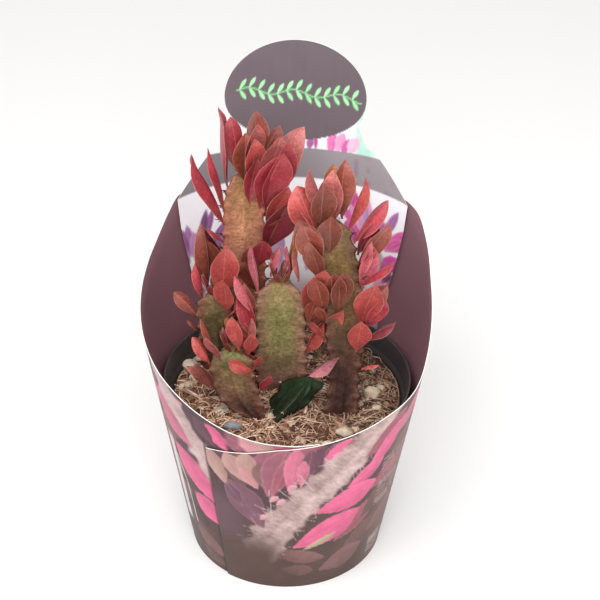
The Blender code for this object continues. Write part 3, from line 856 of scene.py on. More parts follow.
bent = add(tree, "ShaderNodeVectorMath", {0: bent, 1: (0.004, 0.004, 0.004), 2: where},
           operation="MULTIPLY_ADD").outputs[0]
crease = add(tree, "ShaderNodeTexVoronoi", {"Vector": bent, "Scale": 310.0},
             feature="DISTANCE_TO_EDGE").outputs["Distance"]
scar = add(tree, "ShaderNodeMapRange",
           {"Value": crease, "From Min": 0.0, "From Max": 0.07, "To Min": 1.0, "To Max": 0.0}).outputs[0]
worn = add(tree, "ShaderNodeMapRange",
           {"Value": blotch, "From Min": 0.46, "From Max": 0.6, "To Min": 0.0, "To Max": 0.42}).outputs[0]
scar = add(tree, "ShaderNodeMath", {0: scar, 1: worn}, operation="MULTIPLY").outputs[0]
paler = add(tree, "ShaderNodeVectorMath", {0: tinted, 1: (2.3, 2.3, 2.3), 2: (0.03, 0.02, 0.014)},
            operation="MULTIPLY_ADD").outputs[0]
mixed = add(tree, "ShaderNodeMix", {0: scar, 6: mixed, 7: paler}, data_type="RGBA").outputs[2]
tree.links.new(mixed, shader.inputs["Base Color"])
bump = add(tree, "ShaderNodeBump", {"Height": freckle, "Strength": 0.55, "Distance": 0.0005}).outputs[0]
tree.links.new(bump, shader.inputs["Normal"])
print(stem_skin_finish.name, "has", len(tree.nodes), "nodes")

# %% Stem colours
# Up each stem: a share of its height and the colour of its flats there, then the colour of its ridges
STEM_TONES = {
    "front": (((-0.1, "#543932"), (0.12, "#715246"), (0.3, "#7b664a"), (0.55, "#7f7a4a"), (0.85, "#86794c"),
               (1.0, "#80693e")), "#87594f"),
    "tall_left": (((-0.1, "#5c4034"), (0.2, "#8a5850"), (0.45, "#ae7462"), (0.7, "#b07a5e"), (0.9, "#9a7048"),
                   (1.0, "#876038")), "#a0604e"),
    "tall_right": (((-0.1, "#341a17"), (0.22, "#38201a"), (0.34, "#452e22"), (0.5, "#64482f"),
                    (0.7, "#7a6038"), (1.0, "#7c6640")), "#5f3a2e"),
    "small": (((-0.1, "#3a2222"), (0.2, "#4a2f28"), (0.45, "#6e523c"), (0.8, "#7a6a42"), (1.0, "#6c6a3c")),
              "#70483a"),
    "back_left": (((-0.1, "#4c352c"), (0.4, "#5e4a38"), (0.8, "#6a5c3c"), (1.0, "#6a5538")), "#7c4a3e"),
    "old_green": (((-0.1, "#1a2519"), (0.5, "#1a2a19"), (1.0, "#22391d")), "#2b3624"),
}


def stem_tint(points, off, share, tones, ridge_tone, seed):
    """Colour of each point: blended up the height, towards the ridge colour on the wings, and clouded."""
    shares = np.array([row[0] for row in tones])
    rows = inks(row[1] for row in tones)
    up_stem = np.stack([np.interp(share, shares, rows[:, k]) for k in range(3)], -1)
    flat = points.reshape(-1, 3)
    cloud = cloudy(flat, 6, seed + 5).reshape(points.shape[:2])
    to_ridge = np.clip(0.75 * np.exp(-(off / 17) ** 2)[None] + 0.5 * (cloud - 0.62), 0, 1)
    tone = up_stem[:, None] * (1 - to_ridge[..., None]) + ink(ridge_tone) * to_ridge[..., None]
    return tone * (0.84 + 0.32 * cloud[..., None])


for seed, (name, stem) in enumerate(stems.items()):
    points, off, share = stem_skin(stem, seed)
    tones, ridge_tone = STEM_TONES[name]
    tint = with_ends(stem_tint(points, off, share, tones, ridge_tone, seed)[None])
    make_piece(f"stem_{name}_skin", closed_tubes(points[None]), [stem_skin_finish],
               [f"stem_{name}"], tint=tint)
print("stem skins:", len(stems), "with", STEM_AROUND, "points round each")

# %% [markdown]
# ## Thorns
#
# A pair of thorns stands on every tooth, splayed to the two sides: 1 to 4 mm long, brown-red to
# nearly black on the older stems and pink on the young ones. They are hundreds, so each has three rings
# of four points.

# %% Thorns
# Dry horn: hard and slightly glossy, its colour taken from the stem's age
horn, tree, shader = new_material("dry_thorn_horn", Roughness=0.4)
tinted = add(tree, "ShaderNodeAttribute", attribute_name="tint").outputs["Color"]
tree.links.new(tinted, shader.inputs["Base Color"])

# Mean length in mm, and tone
THORNS = {"front": (1.7, "#b56a62"), "tall_left": (3.8, "#3a1c1a"), "tall_right": (2.8, "#34191a"),
          "small": (1.8, "#b07468"), "back_left": (2.2, "#4a2622"), "old_green": (1.6, "#c8b8a0")}
THORN_TAPER = np.array([0.30, 0.19, 0.03])  # radius at foot, middle and point


def thorns(stem, seed, length):
    """Two tapered spikes on each tooth: out along the ridge, splayed sideways and tipped up a little."""
    foot, top = SOIL - UNDER_SOIL, stem["level"][-1]
    fine = np.linspace(foot, top - 2.0, 2400)
    peaks = []
    for number in range(3):
        edge = teeth(fine - foot, number, seed)
        crest = (edge[1:-1] > edge[:-2]) & (edge[1:-1] >= edge[2:]) & (fine[1:-1] > SOIL + 2)
        high = np.flatnonzero(crest) + 1
        peaks.append(np.stack([fine[high], np.full(len(high), stem["ridge"] + APART * number)], 1))
    peaks = np.concatenate(peaks)
    axis, radius = stem_at(stem, peaks[:, 0])
    out = towards(peaks[:, 1])
    side = np.cross(out, (0, 0, 1.0))
    draw = np.random.default_rng(40 + seed)
    paths = []
    for splay in (-1, 1):
        way = out + splay * (0.45 + 0.25 * draw.random((len(out), 1))) * side
        way = way + np.array([0, 0, 1.0]) * (0.25 * draw.random((len(out), 1)) - 0.05)
        way /= np.linalg.norm(way, axis=1, keepdims=True)
        base = axis + out * (0.95 * radius + TOOTH_LENGTH - 0.5)[:, None] + np.array([0, 0, 0.7])
        reach = length * (0.6 + 0.6 * draw.random((len(out), 1)))
        paths.append(base[:, None] + way[:, None] * reach[:, None] * np.array([0, 0.5, 1.0])[:, None])
    paths = np.concatenate(paths)
    thick = np.broadcast_to(THORN_TAPER, (len(paths), 3)) * (0.8 + 0.1 * length)
    return tubes_along(paths, thick)


for seed, (name, stem) in enumerate(stems.items()):
    length, code = THORNS[name]
    rings = thorns(stem, seed, length)
    make_piece(f"thorns_{name}", closed_tubes(rings), [horn], tint=tint_each(ink(code), rings))
    print(f"thorns on {name}: {len(rings)}")

# %% [markdown]
# ## Leaves
#
# The leaves are the red part: thick, waxy, spoon-shaped blades, widest past the middle and pointed, folded
# a little along the midrib. A flat sheet thickened by a modifier would have blunt rims, so each blade is one
# skin, rings round a thin lens section carried from foot to tip. The frame's leaves say where each one
# stands: its foot, tip, width, bow and the way it faces are read from them.

# %% Read a leaf
BLADE_PEAK = 0.3953  # the greatest value of share * (1 - share ** 2.1)
RING_AT, RING_REST = 0.55, 0.45  # shares of a frame leaf's length before and after the ring that is read


def frame_outline(share):
    """The frame's outline: half width at a share of the length, 1 at the widest."""
    widest = 0.9 / 1.45
    return share ** 0.9 * (1 - share) ** 0.55 / (widest ** 0.9 * (1 - widest) ** 0.55)


def blade_outline(share):
    """The real outline: narrow foot, widest a little past the middle, then sides that meet in a point."""
    return share * (1 - share ** 2.1) / BLADE_PEAK


def read_leaf(name):
    """How a frame leaf lies. Its foot is the end with four corners, and a ring gives its width and facing."""
    points = cad_points(name)
    run = np.linalg.svd(points - points.mean(0))[2][0]
    place = points @ run
    near = 0.05 * np.ptp(place)
    if (place < place.min() + near).sum() < (place > place.max() - near).sum():
        run, place = -run, -place
    foot = points[np.argsort(place)[:4]].mean(0)
    tip = points[np.argmax(place)]
    length = np.linalg.norm(tip - foot)
    along = (tip - foot) / length
    ring = points[np.abs((points - foot) @ along / length - RING_AT) < 0.06]
    gap = np.linalg.norm(ring[:, None] - ring[None], axis=2)
    left, right = np.unravel_index(np.argmax(gap), gap.shape)
    across = (ring[right] - ring[left]) / gap.max()
    middle = np.delete(ring, [left, right], 0).mean(0)
    rims = (ring[left] + ring[right]) / 2
    face = np.cross(across, along)
    if (rims - middle) @ face < 0:
        across, face = -across, -face
    half = gap.max() / 2 / frame_outline(RING_AT)
    bow = -((middle - foot) @ face) / (4 * length * RING_AT * RING_REST)
    return {"foot": foot, "along": along, "across": across, "face": face, "length": length, "half": half,
            "bow": bow}


sample = read_leaf("leaf_front_01")
print(f"first front leaf: {sample['length']:.1f} mm long, {2 * sample['half']:.1f} mm wide")

# %% Blade shape
BLADE_RINGS = 30
BLADE_AROUND = 24
BLADE_THICK = 0.62


def blade(lie, seed):
    """Rings of a leaf: a lens section, V-folded, bowed outwards, with wavy rims and its tip turned over."""
    draw = np.random.default_rng(900 + seed)
    share = (1 - np.cos(np.linspace(0, math.pi, BLADE_RINGS))) / 2
    turn = np.linspace(0, 2 * math.pi, BLADE_AROUND, endpoint=False)
    x, side = np.cos(turn), np.sin(turn)
    length, half = lie["length"], lie["half"]
    wide = np.maximum(half * blade_outline(share), 0.55 * (1 - share) ** 2)
    thick = BLADE_THICK / 2 * (1 - 0.45 * share) * np.minimum(1, 6 * (1 - share) + 0.15)
    lens = np.sign(side) * np.abs(side) ** 0.75
    rib = 0.22 * np.exp(-(x / 0.13) ** 2) * (side < 0)
    fold = (0.38 + 0.26 * draw.random()) * wide[:, None] * np.sqrt(x ** 2 + 0.02)
    phase = draw.random(2) * 2 * math.pi
    wave = 0.05 * half * np.sin(2 * math.pi * 1.6 * share[:, None] + phase[0] + 0.8 * np.sign(x)) * x ** 2
    wave = wave * np.sin(math.pi * share)[:, None]
    tip_turn = (draw.random() - 0.35) * 0.09 * length * steps_between(0.72, 1.0, share)[:, None] ** 2
    lift = fold + wave - tip_turn + thick[:, None] * lens - (rib * thick[:, None])
    sway = (draw.random() - 0.5) * 0.05 * length * np.sin(math.pi * share) * share
    bow = -lie["bow"] * 4 * length * share * (1 - share)
    middle = lie["foot"] + lie["along"] * (length * share)[:, None]
    middle = middle + lie["face"] * bow[:, None] + lie["across"] * sway[:, None]
    points = middle[:, None] + lie["across"] * (wide[:, None] * x)[..., None] + lie["face"] * lift[..., None]
    uv = np.stack(np.broadcast_arrays(share[:, None], 0.5 + 0.5 * x[None]), -1)
    return points, uv


print("points of one blade:", BLADE_RINGS * BLADE_AROUND + 2)

# %% [markdown]
# A leaf has a waxy cuticle over red sap: satin, with a paler midrib and rim, side veins and fine speckles.
# The veins have to follow the blade, so they are drawn from its own UV map, the share of the length one way
# and of the width the other. The speckles and patches read object space, as those of the stem do.

# %% Leaf finish
leaf_finish, tree, shader = new_material("waxy_leaf_cuticle", Roughness=0.37)
tinted = add(tree, "ShaderNodeAttribute", attribute_name="tint").outputs["Color"]
place = add(tree, "ShaderNodeSeparateXYZ", {0: add(tree, "ShaderNodeUVMap", uv_map="UVMap").outputs[0]})
where = add(tree, "ShaderNodeTexCoord").outputs["Object"]
beside = add(tree, "ShaderNodeMath", {0: place.outputs[1], 1: 0.5}, operation="SUBTRACT").outputs[0]
beside = add(tree, "ShaderNodeMath", {0: beside}, operation="ABSOLUTE").outputs[0]
midrib = add(tree, "ShaderNodeMapRange",
             {"Value": beside, "From Min": 0.006, "From Max": 0.024, "To Min": 0.75,
              "To Max": 0.0}).outputs[0]
rim = add(tree, "ShaderNodeMapRange", {"Value": beside, "From Min": 0.462, "From Max": 0.490}).outputs[0]
slant = add(tree, "ShaderNodeMath", {0: beside, 1: -1.5, 2: place.outputs[0]},
            operation="MULTIPLY_ADD").outputs[0]
comb = add(tree, "ShaderNodeMath", {0: slant, 1: 9.0}, operation="MULTIPLY").outputs[0]
comb = add(tree, "ShaderNodeMath", {0: comb, 1: 0.5}, operation="PINGPONG").outputs[0]
veins = add(tree, "ShaderNodeMapRange",
            {"Value": comb, "From Min": 0.0, "From Max": 0.09, "To Min": 0.13, "To Max": 0.0}).outputs[0]
speckle = add(tree, "ShaderNodeTexNoise",
              {"Vector": where, "Scale": 900.0, "Detail": 3.0, "Roughness": 0.6}).outputs["Fac"]
patch = add(tree, "ShaderNodeTexNoise", {"Vector": where, "Scale": 150.0, "Detail": 3.0}).outputs["Fac"]
shade = add(tree, "ShaderNodeMapRange",
            {"Value": speckle, "From Min": 0.35, "From Max": 0.68, "To Min": 0.70, "To Max": 1.22}).outputs[0]
soft = add(tree, "ShaderNodeMapRange",
           {"Value": patch, "From Min": 0.3, "From Max": 0.7, "To Min": 0.84, "To Max": 1.14}).outputs[0]
both = add(tree, "ShaderNodeMath", {0: shade, 1: soft}, operation="MULTIPLY").outputs[0]
flesh = add(tree, "ShaderNodeVectorMath", {0: tinted, "Scale": both}, operation="SCALE").outputs[0]
pale = add(tree, "ShaderNodeMix", {0: 0.36, 6: flesh, 7: colour("#e8a590")}, data_type="RGBA").outputs[2]
lines = add(tree, "ShaderNodeMath", {0: midrib, 1: rim}, operation="MAXIMUM").outputs[0]
lines = add(tree, "ShaderNodeMath", {0: lines, 1: veins}, operation="MAXIMUM").outputs[0]
blend = add(tree, "ShaderNodeMix", {0: lines, 6: flesh, 7: pale}, data_type="RGBA").outputs[2]
tree.links.new(blend, shader.inputs["Base Color"])
raised = add(tree, "ShaderNodeMath", {0: lines, 1: 0.6, 2: speckle}, operation="MULTIPLY_ADD").outputs[0]
bump = add(tree, "ShaderNodeBump", {"Height": raised, "Strength": 0.5, "Distance": 0.0003}).outputs[0]
tree.links.new(bump, shader.inputs["Normal"])
print(leaf_finish.name, "has", len(tree.nodes), "nodes")

# %% Leaf colours
# The tones are partly the leaves' own reds and partly painted light and shade: coral, salmon and pink
# stand partly for leaves in full light, crimson, wine and brown partly for leaves in shade.
LEAF_TONES = {
    "crimson": "#b8434f", "coral": "#c65a54", "salmon": "#c97670", "pink": "#d5707c",
    "bright_pink": "#dd7e8e", "rust": "#944c3a", "brown": "#804737", "wine": "#822d39", "amber": "#9e6a30",
    "mauve": "#a86a72", "dusty": "#9a5a50",
}
LEAF_PLAN = {
    "tall_left": "crimson crimson crimson crimson salmon rust brown coral crimson salmon wine crimson rust",
    "tall_right": "mauve coral wine coral rust brown crimson pink brown crimson coral brown rust coral "
                  "salmon amber salmon",
    "front": "crimson coral crimson pink coral bright_pink amber",
    "back_left": "rust coral crimson coral brown",
    "small": "dusty coral coral",
}


def blade_tint(points, share, code, seed):
    """A leaf's colour: darker and browner at the foot, pinker towards the tip, with soft clouds."""
    base = ink(code)
    flat = points.reshape(-1, 3)
    cloud = cloudy(flat, 8, seed).reshape(points.shape[:2])[..., None]
    foot_tone = base * 0.55 + ink("#5a3a26") * 0.45
    tip_tone = base * 0.78 + ink("#e08a80") * 0.22
    s = share[:, None, None]
    tone = foot_tone + (base - foot_tone) * steps_between(0.0, 0.45, s)
    tone = tone + (tip_tone - tone) * steps_between(0.5, 1.0, s)
    return tone * (0.72 + 0.32 * cloud) * np.array([0.96, 0.84, 0.88])


ON_EDGE = {"leaf_tall_left_03": 52}  # degrees: this blade has twisted on its stalk


def turned_on_edge(lie, degrees):
    """The same leaf, turned about its own length."""
    turn = math.radians(degrees)
    across = lie["across"] * math.cos(turn) + lie["face"] * math.sin(turn)
    return {**lie, "across": across, "face": lie["face"] * math.cos(turn) - lie["across"] * math.sin(turn)}


count = 0
for stem_name, plan in LEAF_PLAN.items():
    for index, tone_name in enumerate(plan.split(), 1):
        name = f"leaf_{stem_name}_{index:02d}"
        count += 1
        points, uv = blade(turned_on_edge(read_leaf(name), ON_EDGE.get(name, 0)), count)
        tint = blade_tint(points, uv[:, 0, 0], LEAF_TONES[tone_name], count)
        make_piece(name.replace("leaf_", "blade_"), closed_tubes(points[None]), [leaf_finish],
                   [name], uv=with_ends(uv[None]), tint=with_ends(tint[None]))
print("leaves:", count)

# %% [markdown]
# ## Young leaves
#
# Between the large leaves stand small ones, and a tuft of unopened leaves closes each growing tip.
# They are told by the stem they grow from and stand on its skin, as those of the frame do.

# %% Plan of the young leaves
# For each: height on the stem, heading of its foot, heading it grows in, rise above the level, length,
# width and roll, in mm and degrees, then its tone
YOUNG = {
    "front": ((55, -120, 105, 75, 14, 5, -10, "pink"), (56, 120, -40, 80, 15, 5, 25, "bright_pink"),
              (57, 60, -115, 80, 15, 5, -5, "salmon"), (5, -60, -15, -15, 9, 4, -30, "salmon"),
              (24, 58, 67, 56, 29, 9, 60, "coral"), (31, -62, -74, 72, 22, 8, -60, "crimson"),
              (38, 60, 40, 70, 14, 6, 60, "rust"), (46, 60, 60, 76, 16, 7, 60, "brown"),
              (40, -60, -80, 76, 17, 7, -60, "rust"), (18, -60, -70, 50, 12, 5, -30, "coral"),
              (22, -62, -60, 66, 20, 8, -60, "salmon"), (12, -62, -50, 60, 16, 7, -50, "coral"),
              (34, 60, 85, 62, 18, 7, 60, "dusty")),
    "small": ((29, -60, -110, 70, 17, 6, -10, "rust"), (30, 180, -135, 70, 9, 4, 25, "amber"),
              (30, 60, 145, 80, 16, 6, 25, "dusty"), (24, 60, 30, 60, 10, 4, 10, "coral"),
              (31, 38, -56, 79, 18, 7, -45, "coral"), (20, -60, -70, 35, 12, 6, 10, "dusty"),
              (27, -40, -60, 62, 15, 6, -30, "salmon"), (29, 60, 20, 70, 14, 6, 10, "coral"),
              (14, 60, 50, 60, 12, 5, 30, "crimson")),
    "tall_left": ((58, 60, 50, 45, 12, 5, -45, "salmon"), (66, -60, -60, 50, 11, 4, 20, "crimson"),
                  (50, -60, -70, 40, 8, 3, 0, "rust"), (88, 60, 30, 60, 14, 6, 0, "coral"),
                  (45, 39, -34, 77, 21, 9, 0, "rust"), (64, 56, 64, 60, 20, 9, 50, "rust"),
                  (54, 45, 20, 66, 20, 9, 15, "crimson"), (84, 20, 40, 76, 24, 9, 20, "crimson"),
                  (72, 60, 70, 66, 24, 10, 60, "coral"), (60, -60, -80, 60, 14, 5, -40, "wine"),
                  (82, 50, 40, 64, 35, 15, 30, "crimson"), (90, 60, 75, 72, 26, 12, 60, "salmon"),
                  (93, 0, 10, 80, 24, 11, 0, "rust"), (68, 60, 50, 60, 22, 10, 40, "wine"),
                  (50, -60, -60, 70, 20, 8, -50, "rust"), (36, 60, 30, 66, 18, 8, 20, "coral")),
    "tall_right": ((42, -50, -30, 60, 13, 5, -25, "rust"), (64, 70, 60, 55, 13, 5, 20, "coral"),
                   (50, 70, 95, 30, 9, 4, 0, "wine"), (20, 70, 80, 20, 8, 3, 0, "coral"),
                   (76, -62, -110, 68, 25, 14, 40, "coral"), (78, -100, 133, 78, 24, 13, 0, "crimson"),
                   (60, -50, -70, 72, 20, 9, -50, "brown"), (46, -50, -60, 74, 20, 9, -50, "rust"),
                   (70, 70, 80, 66, 18, 8, 60, "wine"), (34, -50, -70, 60, 13, 6, -30, "coral"),
                   (62, 80, 85, 60, 26, 10, 60, "rust"), (54, 75, 80, 78, 22, 8, 60, "pink"),
                   (66, -50, -60, 70, 24, 11, -60, "rust"), (72, -20, 0, 78, 20, 10, 0, "brown"),
                   (50, -20, -10, 74, 18, 9, 0, "rust"), (38, 70, 70, 66, 18, 9, 50, "crimson")),
    "back_left": ((38, 60, 40, 50, 10, 4, 0, "coral"), (30, -60, -70, 50, 9, 4, 0, "rust")),
}


print("young leaves planned:", sum(map(len, YOUNG.values())))

# %% Grow the young leaves
def leaf_lie(stem, height, ridge, heading, rise, length, width, roll):
    """The same description as read_leaf gives, worked out from a place on a stem."""
    axis, radius = stem_at(stem, np.array([SOIL + height]))
    reach = radius[0] * 0.5 / math.cos(math.radians(60 - off_ridge(stem, ridge))) + 0.4
    climb, twist = math.radians(rise), math.radians(roll)
    along = towards(np.array(float(heading))) * math.cos(climb) + np.array([0, 0, math.sin(climb)])
    level = towards(np.array(heading + 90.0))
    face = np.cross(level, along)
    across = level * math.cos(twist) + face * math.sin(twist)
    return {"foot": axis[0] + towards(np.array(float(ridge))) * reach, "along": along, "across": across,
            "face": np.cross(across, along), "length": length, "half": width / 2, "bow": 0.06}


TIP_LEAVES = 6
TIP_DEPTH = 1.0  # mm under the stem's top at which the tuft starts
for stem_name, rows in YOUNG.items():
    stem = stems[stem_name]
    made = [leaf_lie(stem, *row[:7]) for row in rows]
    tones = [row[7] for row in rows]
    tip_height = stem["level"][-1] - SOIL - TIP_DEPTH
    tip_place = stem_at(stem, [SOIL + tip_height])[0][0]
    for k in range(TIP_LEAVES):
        heading = stem["ridge"] + 40 + 360 * k / TIP_LEAVES
        tip = leaf_lie(stem, tip_height, heading, heading, 74 - 5 * (k % 3), 7 + 1.3 * (k % 4), 3.0, 0)
        tip["foot"] = tip["foot"] * 0.35 + tip_place * 0.65
        made.append(tip)
        tones.append("rust" if k % 2 else "wine")
    skins, uvs, tints = [], [], []
    for lie, tone_name in zip(made, tones):
        count += 1
        points, uv = blade(lie, count)
        skins.append(points)
        uvs.append(uv)
        tints.append(blade_tint(points, uv[:, 0, 0], LEAF_TONES[tone_name], count))
    make_piece(f"young_leaves_{stem_name}", closed_tubes(np.stack(skins)), [leaf_finish],
               uv=with_ends(np.stack(uvs)), tint=with_ends(np.stack(tints)))
print("leaves with the young ones:", count)

# %% [markdown]
# ## Card sleeve
#
# The sleeve is one die-cut strip of solid bleached board, printed outside with a branch of the plant,
# flooded aubergine inside, satin varnished and wound once round the pot with its end lapped over its
# start. It could be a cone with a picture on it; wound as one strip, the lap, its seam and the white raw
# edge come by themselves. The strip is read back from the frame: how far round each column has been
# wound, and how high the card stands there.

# %% Unroll the strip
CARD = 0.45
TURN_GROWTH = 0.75  # how much wider a turn lies than the one beneath it
strip_points = cad_points("card_sleeve")
strip_radius = np.hypot(strip_points[:, 0], strip_points[:, 1])
strip_foot = strip_points[:, 2] < 0.01
start = np.flatnonzero(strip_foot)[np.argmin(strip_radius[strip_foot])]
START = float(headings(strip_points[start]))
FOOT_INSIDE = strip_radius[start]
tops = strip_points[~strip_foot]
top_radius, top_wound = strip_radius[~strip_foot], (START - headings(tops) + 0.01) % 360 - 0.01
same = np.abs(top_wound) < 0.05
first = np.flatnonzero(same)[np.argmin(top_radius[same])]
FLARE = (top_radius[first] - FOOT_INSIDE) / tops[first, 2]
excess = top_radius - FOOT_INSIDE - FLARE * tops[:, 2] - TURN_GROWTH * top_wound / 360
second_turn = np.abs(excess - TURN_GROWTH) < 0.1
inner_first = np.abs(excess) < 0.1
wound_known = np.concatenate([top_wound[inner_first], top_wound[second_turn] + 360])
top_known = np.concatenate([tops[inner_first, 2], tops[second_turn, 2]])
order = np.argsort(wound_known)
wound_known, top_known = wound_known[order], top_known[order]
WOUND = wound_known[-1]
print(f"strip: {len(order)} columns over {WOUND:.1f} degrees, from heading {START:.1f}; flare {FLARE:.3f}")


def sleeve_radius(height, wound):
    """Radius of the strip's inner face."""
    return FOOT_INSIDE + FLARE * height + TURN_GROWTH * wound / 360


# %% Strip as one closed ring per column
# The outside carries the picture, so its points are half a millimetre apart round the pot and about one up it
OUTSIDE_ROWS = 124
INSIDE_ROWS = 18
LIP = 0.2  # mm of height in which the cut edge rounds over
FRONT_STEP, BACK_STEP, HIDDEN_STEP = 0.55, 0.95, 2.0  # degrees from column to column
spans = ((0, 42, HIDDEN_STEP), (42, 112, FRONT_STEP), (112, 282, BACK_STEP), (282, WOUND, FRONT_STEP))
wound = np.concatenate([np.arange(low, high, step) for low, high, step in spans] + [[WOUND]])
wound = wound[np.concatenate([np.diff(wound) > 0.05, [True]])]
top = smooth_through(wound, wound_known, top_known)
outside = np.linspace(0, 1, OUTSIDE_ROWS)
inside = np.linspace(1, 0, INSIDE_ROWS)
lip_drop = np.array([0.06, 0.0, 0.06])
heights = np.concatenate([
    (top[:, None] - LIP) * outside, top[:, None] - lip_drop, (top[:, None] - LIP) * inside,
], 1)
offset = CARD * np.concatenate([np.ones(OUTSIDE_ROWS), [0.85, 0.5, 0.15], np.zeros(INSIDE_ROWS)])
radius = sleeve_radius(heights, wound[:, None]) + offset
strip_rings = towards(START - wound)[:, None] * radius[..., None]
strip_rings[..., 2] = heights
print("strip grid:", heights.shape, "points")

# %% [markdown]
# ## What is printed on the card
#
# The picture is a close view of the plant itself: a pale woolly stem climbing to the right with hot pink
# leaves below it and mauve ones above, over brown-purple shadow. It could be a node pattern, but leaves
# that lie across each other need an order, so it is painted on the strip's points: leaf outlines, toothed
# stems and lines, each with a soft edge, laid one over another as layers of ink are. Rows of short dashes
# stand in for the small print.

# %% Painting on points
ARC = 0.873  # mm of card to a degree of heading, half way up
PRINT_DEPTH = 0.7  # printed inks reflect a little less than the tones they show in full light
DASH_PITCH = 2.1  # mm from one row of dashes to the next


def paint(canvas, chosen, mask, tone):
    """Lays a tone over the chosen points, as strongly as the mask says."""
    canvas[chosen] += (tone - canvas[chosen]) * mask[:, None]


def flat_cloud(at, size, seed):
    """Clouds on flat points."""
    return cloudy(np.concatenate([at, np.zeros((len(at), 1))], 1), size, seed)


def printed_leaf(canvas, at, base, tip, half, code, seed, rim="#e8b4b4", line=0.2):
    """A leaf outline from base to tip: one side lighter, a pale midrib and rim, soft clouds, soft edge."""
    base, tip = np.array(base, float), np.array(tip, float)
    length = np.linalg.norm(tip - base)
    run = (tip - base) / length
    off = at - base
    share, aside = off @ run / length, off @ (-run[1], run[0])
    chosen = np.flatnonzero((share > 0.002) & (share < 0.998) & (np.abs(aside) < half + 0.5))
    share, aside = share[chosen], aside[chosen]
    wide = half * blade_outline(share)
    spikes = 0.25 * np.abs(np.sin(share * length * 0.8 + seed)) ** 8 * (half > 2)
    edge = wide + spikes - np.abs(aside)
    cloud = flat_cloud(at[chosen], 3.5, seed)
    streak = flat_cloud(np.stack([aside * 2.2, share * length * 0.5], 1), 1.2, seed + 3)
    lit = 0.86 + 0.16 * aside / (wide + 0.3) + 0.26 * cloud + 0.14 * (streak - 0.5)
    tone = ink(code) * lit[:, None]
    pale = line * (steps_between(0.9, 0.1, edge) + 0.6 * steps_between(0.45, 0.1, np.abs(aside)))
    pale = pale * (0.5 + 1.4 * cloud)
    tone = tone + (ink(rim) - tone) * np.clip(pale, 0, 0.6)[:, None]
    paint(canvas, chosen, steps_between(-0.3, 0.3, edge), tone)


print("one degree of heading is", ARC, "mm of card")

# %% Printed stems and lines
def along_path(at, path):
    """Distance from a bent line, its side and how far along it the nearest place is."""
    best = np.full(len(at), np.inf)
    side, gone, done = np.zeros(len(at)), np.zeros(len(at)), 0.0
    for a, b in zip(path[:-1], path[1:]):
        length = np.linalg.norm(b - a)
        run = (b - a) / length
        t = np.clip((at - a) @ run, 0, length)
        off = at - a - t[:, None] * run
        distance = np.linalg.norm(off, axis=1)
        nearer = distance < best
        best = np.where(nearer, distance, best)
        side = np.where(nearer, np.sign(off @ (-run[1], run[0])), side)
        gone = np.where(nearer, done + t, gone)
        done += length
    return best, side, gone


def printed_stem(canvas, at, path, half, light, dark, seed):
    """A woolly stem along a bent line: toothed sides, hairs across it, shadow along its lower side."""
    path = np.array(path, float)
    distance, side, gone = along_path(at, path)
    chosen = np.flatnonzero(distance < half + 3)
    distance, side, gone = distance[chosen], side[chosen], gone[chosen]
    tooth = np.abs(np.sin(gone * math.pi / 9.5 + 0.7 * side)) ** 4
    edge = half - 1.0 + 1.6 * tooth + 3.0 * (flat_cloud(at[chosen], 5, seed + 2) - 0.5) - distance
    hair = flat_cloud(np.stack([gone * 2.4, distance * side * 0.7], 1), 1.1, seed)
    wool = flat_cloud(at[chosen], 4.0, seed + 1)
    share = np.clip(0.62 * hair + 0.75 * wool - 0.22 - 0.10 * side, 0, 1)
    tone = ink(dark) + (ink(light) - ink(dark)) * share[:, None]
    paint(canvas, chosen, steps_between(-1.0, 1.4, edge), tone)


def printed_line(canvas, at, path, half, code, strength):
    """A thin line of one tone."""
    distance = along_path(at, np.array(path, float))[0]
    chosen = np.flatnonzero(distance < half + 0.5)
    paint(canvas, chosen, strength * steps_between(half + 0.25, half - 0.2, distance[chosen]), ink(code))


print("a printed line has an edge of 0.45 mm")

# %% Printed hairs and dashes
def bristles(canvas, at, path, half, how_many, code, seed):
    """Short pale hairs that stand out of both sides of a printed stem."""
    draw = np.random.default_rng(abs(seed) + 5)
    path = np.array(path, float)
    legs = np.linalg.norm(np.diff(path, axis=0), axis=1)
    gone = np.concatenate([[0], np.cumsum(legs)])
    places, sides = draw.random(how_many) * gone[-1], draw.choice((-1, 1), how_many)
    reaches, leans = draw.uniform(2, 5, how_many), draw.uniform(-0.9, 0.9, how_many)
    for place, side, reach, lean in zip(places, sides, reaches, leans):
        leg = min(np.searchsorted(gone, place, "right") - 1, len(legs) - 1)
        run = (path[leg + 1] - path[leg]) / legs[leg]
        aside = np.array([-run[1], run[0]]) * side
        foot = path[leg] + run * (place - gone[leg]) + aside * (half - 1.6)
        printed_line(canvas, at, [foot, foot + (aside + lean * run) * reach], 0.13, code, 0.5)


def printed_dashes(canvas, at, left, low, wide, rows, code, seed, strength):
    """Rows of short dashes where small print would stand."""
    place = (at[:, 1] - low) / DASH_PITCH
    row = np.floor(place)
    part = place - row
    chosen = np.flatnonzero((row >= 0) & (row < rows) & (at[:, 0] > left) & (at[:, 0] < left + wide))
    word = flat_cloud(np.stack([at[chosen, 0], row[chosen] * 9.0], 1), 1.3, seed)
    ends = left + wide * (0.72 + 0.28 * np.sin(row[chosen] * 2.3 + seed))
    mask = steps_between(0.30, 0.42, word) * (np.abs(part[chosen] - 0.5) < 0.2) * (at[chosen, 0] < ends)
    paint(canvas, chosen, strength * mask, ink(code))


print("rows of dashes are", DASH_PITCH, "mm apart")

# %% Plan of the branch picture
INKS = {
    "hot": "#ee6c99", "pink": "#da7792", "rose": "#a85c6c", "mauve": "#a06071", "plum": "#7a4a5b",
    "cream": "#c59b92", "shell": "#d4969a", "grape": "#6a4353", "dim": "#8a6462", "dusk": "#765652",
    "shade": "#543a38", "olive": "#c2b592",
}
